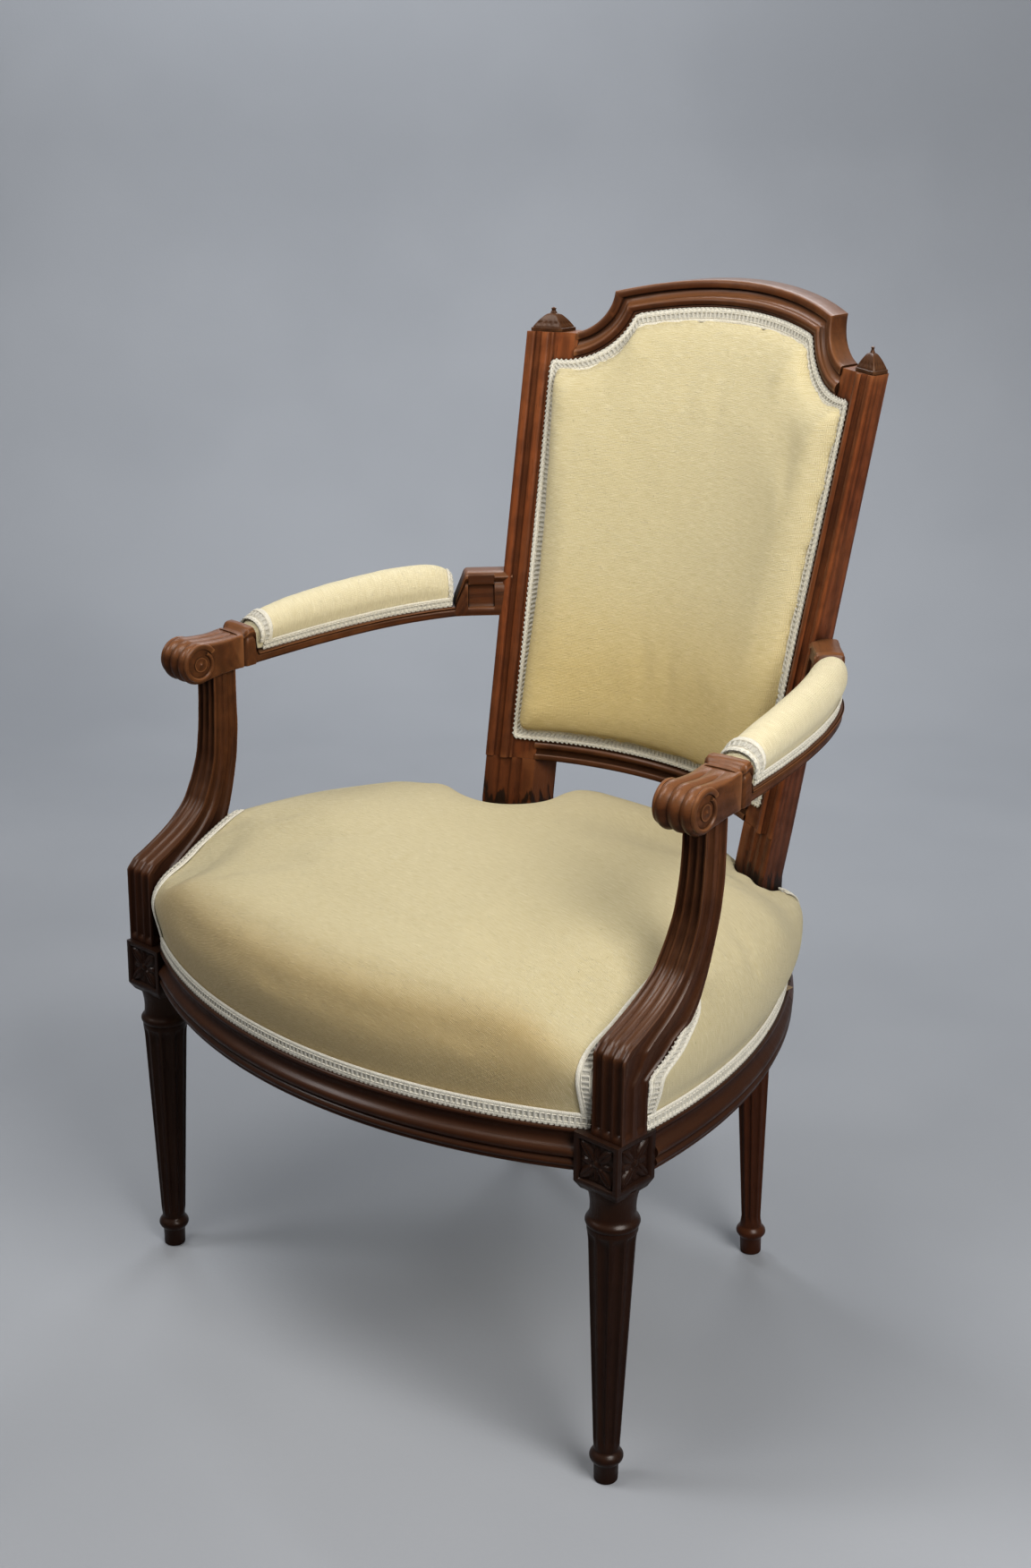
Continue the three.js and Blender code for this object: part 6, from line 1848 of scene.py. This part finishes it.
# %% Braid round the supports and beside the stiles
def inner_support_stations():
    """Up the border beside the stump, over the roll and back beside the sweep."""
    heart_y, heart_z = ROLL_HEART[1:]
    stations = [((0, heart_y - RAY, SEAT_BASE + rise), (0, 1, 0))
                for rise in np.linspace(FOOT_RISE, heart_z - SEAT_BASE, 14)]
    for angle in np.linspace(0.08, 1.35, 18):
        out = np.array([0, -math.cos(angle), math.sin(angle)])
        stations.append((ROLL_HEART + out * RAY, -out))
    stations += [((0, y, heart_z + RAY), (0, 0, -1)) for y in np.linspace(-172, -152, 5)]
    edges = np.array([(SUPPORT_SIDE, 0, 0), (SUPPORT_SIDE - GIMP_WIDTH, 0, 0)])
    return [(*(edges + start), ray) for start, ray in stations]


def outer_support_stations():
    """Down the side of the seat, behind the sweep and the stump."""
    stations = []
    height = ARM_END_Z - RAIL_TOP
    for rise in np.linspace(ROLL_RISE, FOOT_RISE, 34):
        lean = 0.95 * float(smooth_step(rise, 66, 100))
        ray = -np.array([math.cos(lean), 0, math.sin(lean)])
        foot = np.array([blend(288, 276, float(smooth_step(rise, 70, 100))),
                         support_lines(rise / height)[1] + NOTCH_CLEARANCE, SEAT_BASE + rise])
        start = foot - ray * RAY
        stations.append((start, start + (0, GIMP_WIDTH, -2 * lean), ray))
    return stations


def stile_stations():
    """Down the rear of the seat beside a stile."""
    stations = []
    for rise in np.linspace(ROLL_RISE, FOOT_RISE, 26):
        z = SEAT_BASE + rise
        x = stile_outer(z) + NOTCH_CLEARANCE
        lean = 0.8 * float(smooth_step(rise, 60, 95))
        ray = -np.array([0, math.cos(lean), math.sin(lean)])
        start = np.array([x, REAR_BLOCK_BACK - BORDER_INSET, z]) - ray * RAY
        stations.append((start, start + (GIMP_WIDTH, 0, 0), ray))
    return stations


seat_tree = surface_tree(seat_pad)
for side, flipped in SIDES:
    ribbons = [laid_ribbon(seat_tree, stations, flipped)
               for stations in (inner_support_stations(), outer_support_stations())]
    print("support braid", side, [len(line[0]) for line in ribbons])
    braid(f"support_braid_{side}", ribbons, [f"support_gimp_{side}"])
    ribbon = laid_ribbon(seat_tree, stile_stations(), flipped)
    print("stile braid", side, len(ribbon[0]))
    braid(f"stile_braid_{side}", [ribbon], [f"stile_gimp_{side}"])


# %% Braid round the back
def back_braid_line(rearward):
    rise = COVER_THICKNESS + 0.1
    outer, inner = (over_back(places, rise, rearward)
                    for places in (BACK_RIM, BACK_RIM - BACK_OUT * GIMP_WIDTH))
    lift = np.cross(along_path((outer + inner) / 2, loop=True), inner - outer)
    lift *= (1 if rearward else -1) * np.sign(lift[:, 1:2])
    return outer, inner, unit_rows(lift)


braid("back_braid", [back_braid_line(False)], ["back_gimp"], loop=True)
braid("outside_back_braid", [back_braid_line(True)], ["outside_back_gimp"], loop=True)


# %% Braid of the arm pads
PAD_BRAID = 8.5


def pad_side_stations(face):
    """Along the foot of the pad, on one side."""
    stations = []
    for along in np.linspace(0.015, 0.985, 60):
        point, _, across = arm_place(blend(PAD_START, PAD_FINISH, along))
        start = point + across * face * RAY / 2 + (0, 0, PAD_BED + JOINT + 0.6)
        stations.append((start, start + (0, 0, PAD_BRAID), -across * face))
    return stations


def pad_end_stations(along, width):
    """From one foot to the other, over the pad near one of its ends."""
    stations = []
    length = np.linalg.norm(arm_place(PAD_START)[0] - arm_place(PAD_FINISH)[0])
    near, far = (arm_place(blend(PAD_START, PAD_FINISH, along + move / length))
                 for move in (0, width))
    for angle in np.linspace(-1.45, 1.45, 40):
        turned = [across * math.sin(angle) + (0, 0, math.cos(angle))
                  for _, _, across in (near, far)]
        starts = [point + (0, 0, PAD_BED + 7) + out * RAY / 3
                  for (point, _, _), out in zip((near, far), turned)]
        stations.append((*starts, -turned[0]))
    return stations


for side, flipped in SIDES:
    tree = surface_tree(arm_pads[side])
    ways = [pad_side_stations(-1), pad_side_stations(1), pad_end_stations(0.012, PAD_BRAID),
            pad_end_stations(0.996, 1 - PAD_BRAID)]
    braid(f"arm_pad_braid_{side}", [laid_ribbon(tree, way, flipped) for way in ways],
          [f"arm_pad_gimp_{side}"])

# %% [markdown]
# ## Webbing and hessian
# Under the seat and inside the back, jute webbing is laced over and under, and a hessian
# sheet lies on it under the horsehair. They show only from below. Each band is a thin woven
# strip that rides over and under the bands it crosses.

# %% Webbing of the seat
WEB_WIDTH, WEB_PITCH, WEB_THICK, WEB_INSET = 58, 87, 1.5, 15


def seat_span(place, axis):
    """The two ends of a band across the seat's frame."""
    points = RIM - RIM_OUT * WEB_INSET
    other = 1 - axis
    ends = []
    for a, b in zip(points, np.roll(points, -1, 0)):
        if (a[other] - place) * (b[other] - place) <= 0 and a[other] != b[other]:
            t = (place - a[other]) / (b[other] - a[other])
            ends.append(a[axis] + (b[axis] - a[axis]) * t)
    return min(ends), max(ends)


def seat_band(place, axis, parity):
    low, high = seat_span(place, axis)
    rings = []
    for travel in np.linspace(low, high, 70):
        wave = 0.35 * parity * math.cos(travel / WEB_PITCH * math.pi)
        z = SEAT_BASE + WEB_THICK / 2 + wave
        ring = []
        for aside, lift in ((-1, -0.3), (-1, 0.3), (1, 0.3), (1, -0.3)):
            point = [0.0, 0.0, z + lift]
            point[axis] = travel
            point[1 - axis] = place + aside * WEB_WIDTH / 2
            ring.append(point)
        rings.append(ring)
    return loft(rings)


bands = [seat_band((k - middle) * WEB_PITCH, axis, 1 if k % 2 else -1)
         for axis, middle in ((1, 1.5), (0, 2.5)) for k in range(4)]
webbing = mesh_object("seat_webbing_bands", bands)
note_weave(webbing, lambda points: points * (1, 1, 0))
finish_piece(webbing, jute, ["seat_webbing"], sharp=CLOTH_ANGLE)

# %% Hessian of the seat, and both layers in the back
HESSIAN_THICK = 1.0

hessian_rim = RIM - RIM_OUT * (BORDER_INSET + COVER_THICKNESS + 2 * JOINT)
hessian_base = SEAT_BASE + WEB_THICK + JOINT
seat_sheet = mesh_object("seat_hessian_sheet", [loft([
    np.c_[hessian_rim, np.full(len(RIM), z)]
    for z in (hessian_base, hessian_base + HESSIAN_THICK)])])
note_weave(seat_sheet, lambda points: np.c_[
    points[:, 0], points[:, 1] + points[:, 2], np.zeros(len(points))])
cut_for_frame(seat_sheet)
finish_piece(seat_sheet, hessian, ["seat_hessian"], sharp=CLOTH_ANGLE)

# %% Webbing and hessian of the back
BACK_INSET = STRIP + FLANGE + 2 * COVER_THICKNESS + 2 * JOINT
BACK_SPAN = stile_outer(PAD_BOTTOM) - BACK_INSET
BACK_LOW = PAD_BOTTOM + BACK_INSET - STRIP


def back_high(x):
    """Upper edge of the sheets, beside the arch and the notches."""
    arch = arch_point(ARCH_RADIUS - BACK_INSET, x)[1]
    radius, aside = NOTCH_RADIUS + BACK_INSET, NOTCH_SPREAD - abs(x)
    return arch if aside > radius else min(arch, NOTCH_HEIGHT - math.sqrt(radius ** 2 - aside ** 2))


def back_layer(base, thickness, low_at, high_at, left=-BACK_SPAN, right=BACK_SPAN):
    rings = []
    for x in np.linspace(left, right, 30):
        ring = [(low_at(x), base), (high_at(x), base), (high_at(x), base + thickness),
                (low_at(x), base + thickness)]
        rings.append([(x, back_face(x, z) - rise, z) for z, rise in ring])
    return loft(rings)


low_edge = lambda x: BACK_LOW
back_bands = [back_layer(COVER_BASE, WEB_THICK, low_edge, back_high, middle - WEB_WIDTH / 3,
                         middle + WEB_WIDTH / 3) for middle in (-72, 0, 72)]
for share in (0.125, 0.375, 0.625, 0.875):
    level = blend(BACK_LOW, back_high(BACK_SPAN), share)
    back_bands.append(back_layer(
        COVER_BASE, WEB_THICK, lambda x: level - WEB_WIDTH / 2, lambda x: level + WEB_WIDTH / 2))
back_bands = mesh_object("back_webbing_bands", back_bands)
back_linen = mesh_object("back_hessian_sheet", [
    back_layer(COVER_BASE + WEB_THICK + JOINT, HESSIAN_THICK, low_edge, back_high)])
for obj, finish, slot, node, width in (
    (back_bands, jute, "webbing", "back_webbing", 7 * WEB_WIDTH),
    (back_linen, hessian, "hessian", "back_hessian", 2 * BACK_SPAN),
):
    note_weave(obj, back_weave)
    finish_piece(obj, finish, [node], sharp=CLOTH_ANGLE)

# %% [markdown]
# ## Room, light and camera
# The floor and the wall are one pale sweep. The main light is a large soft lamp from the
# upper left in front, with a weak fill from the right and an even sky, at a level at which a
# colour renders about as it is written. A weak lamp behind lights the outside back, and the
# sweep is clear from its rear, so that the chair can be seen from behind and from below. The
# camera stands where the photograph was taken.

# %% Pale sweep
def backdrop():
    mesh = bpy.data.meshes.new("sweep")
    profile = [(-4.0, 0.0), (1.6, 0.0)]
    profile += [(1.6 + 0.9 * math.sin(a), 0.9 - 0.9 * math.cos(a))
                for a in np.linspace(0, math.pi / 2, 16)[1:]]
    profile += [(2.5, 4.0)]
    turn = math.radians(42)
    points = []
    for x in (-6.0, 6.0):
        for y, z in profile:
            points.append((x * math.cos(turn) - y * math.sin(turn),
                           x * math.sin(turn) + y * math.cos(turn), z - 0.0004))
    n = len(profile)
    mesh.from_pydata(points, [], [(k, n + k, n + k + 1, k + 1) for k in range(n - 1)])
    mesh.shade_smooth()
    sweep = linked_object("sweep", mesh)
    material, nodes, shader = new_material("pale_paper")
    spot = object_place(nodes)
    tone = nodes.ramp(nodes.noise(spot, 1.4, 3.0), 0.3, 0.7)
    nodes.wire(shader, Roughness=0.85, Base_Color=nodes.mix(
        tone, (0.33, 0.345, 0.37, 1), (0.37, 0.385, 0.41, 1)))
    bump(nodes, shader, nodes.noise(spot, 260.0, 3.0), 0.0004, 0.4)
    see_through = nodes.add(
        "ShaderNodeMixShader", nodes.add("ShaderNodeNewGeometry").outputs["Backfacing"],
        shader.outputs[0], nodes.add("ShaderNodeBsdfTransparent").outputs[0])
    nodes.wire(material.node_tree.nodes["Material Output"], Surface=see_through.outputs[0])
    mesh.materials.append(material)
    sweep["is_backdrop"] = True


backdrop()


# %% Lamps and sky
def lamp(name, size, energy, place, target=(0, 0, 0.5), colour=(1, 1, 1)):
    data = bpy.data.lights.new(name, "AREA")
    data.shape, data.size, data.energy, data.color = "DISK", size, energy, colour
    light = linked_object(name, data)
    light.location = place
    light.rotation_euler = (Vector(target) - Vector(place)).to_track_quat("-Z", "Y").to_euler()


lamp("above", 0.7, 9.2, (-0.05, -0.60, 1.78), colour=(1.0, 0.98, 0.95))
lamp("right", 1.2, 42, (1.75, -0.55, 1.65), colour=(1.0, 0.98, 0.96))
lamp("left", 0.8, 14, (-1.4, -1.5, 2.1), colour=(0.98, 0.98, 1.0))
lamp("wall", 1.2, 45, (-1.6, 0.6, 2.6), (-1.3, 2.2, 1.9), colour=(0.93, 0.96, 1.0))
lamp("behind", 1.0, 10, (-0.9, 1.5, 2.0), (0, 0.2, 0.7), colour=(0.96, 0.98, 1.0))
world = bpy.data.worlds.new("sky")
world.use_nodes = True
sky = world.node_tree.nodes["Background"].inputs
sky["Color"].default_value, sky["Strength"].default_value = (0.88, 0.90, 0.95, 1), 0.12
bpy.context.scene.world = world
bpy.context.scene.view_settings.view_transform = "Standard"

# %% Camera of the photograph
AZIMUTH, ELEVATION, ROLL = (math.radians(angle) for angle in (42.0058, 19.0556, 0.6047))
DISTANCE, AIM_ASIDE, AIM_HEIGHT = 2.0153, -0.0369, 0.4734
FOCAL_PIXELS, IMAGE_HEIGHT, SENSOR = 2509.2888, 1752, 36


def photo_camera():
    """Look at the chair from its azimuth and elevation, a little rolled."""
    back = Vector((math.sin(AZIMUTH) * math.cos(ELEVATION),
                   -math.cos(AZIMUTH) * math.cos(ELEVATION), math.sin(ELEVATION)))
    right = Vector((math.cos(AZIMUTH), math.sin(AZIMUTH), 0))
    up = back.cross(right)
    place = back * DISTANCE + right * AIM_ASIDE + Vector((0, drawing_shift * MM, AIM_HEIGHT))
    rolled_right = right * math.cos(ROLL) + up * math.sin(ROLL)
    rolled_up = up * math.cos(ROLL) - right * math.sin(ROLL)
    data = bpy.data.cameras.new("photo_camera")
    data.sensor_width = SENSOR
    data.lens = FOCAL_PIXELS / IMAGE_HEIGHT * SENSOR
    data.clip_start, data.clip_end = 0.05, 50
    camera = linked_object("photo_camera", data)
    turn = Matrix((rolled_right, rolled_up, back)).transposed().to_4x4()
    camera.matrix_world = Matrix.Translation(place) @ turn
    bpy.context.scene.camera = camera
    print("camera at", [round(c, 4) for c in place], "lens", round(data.lens, 2), "mm")


photo_camera()

# %% [markdown]
# ## Size of the dressed chair
# The dressed chair must stay in the CAD model's box, apart from a little cloth. Both boxes are
# printed.

# %% Boxes and finish
shown_box = [list(corner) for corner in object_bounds()]
print("CAD box ", cad_box)
print("shown box", shown_box)
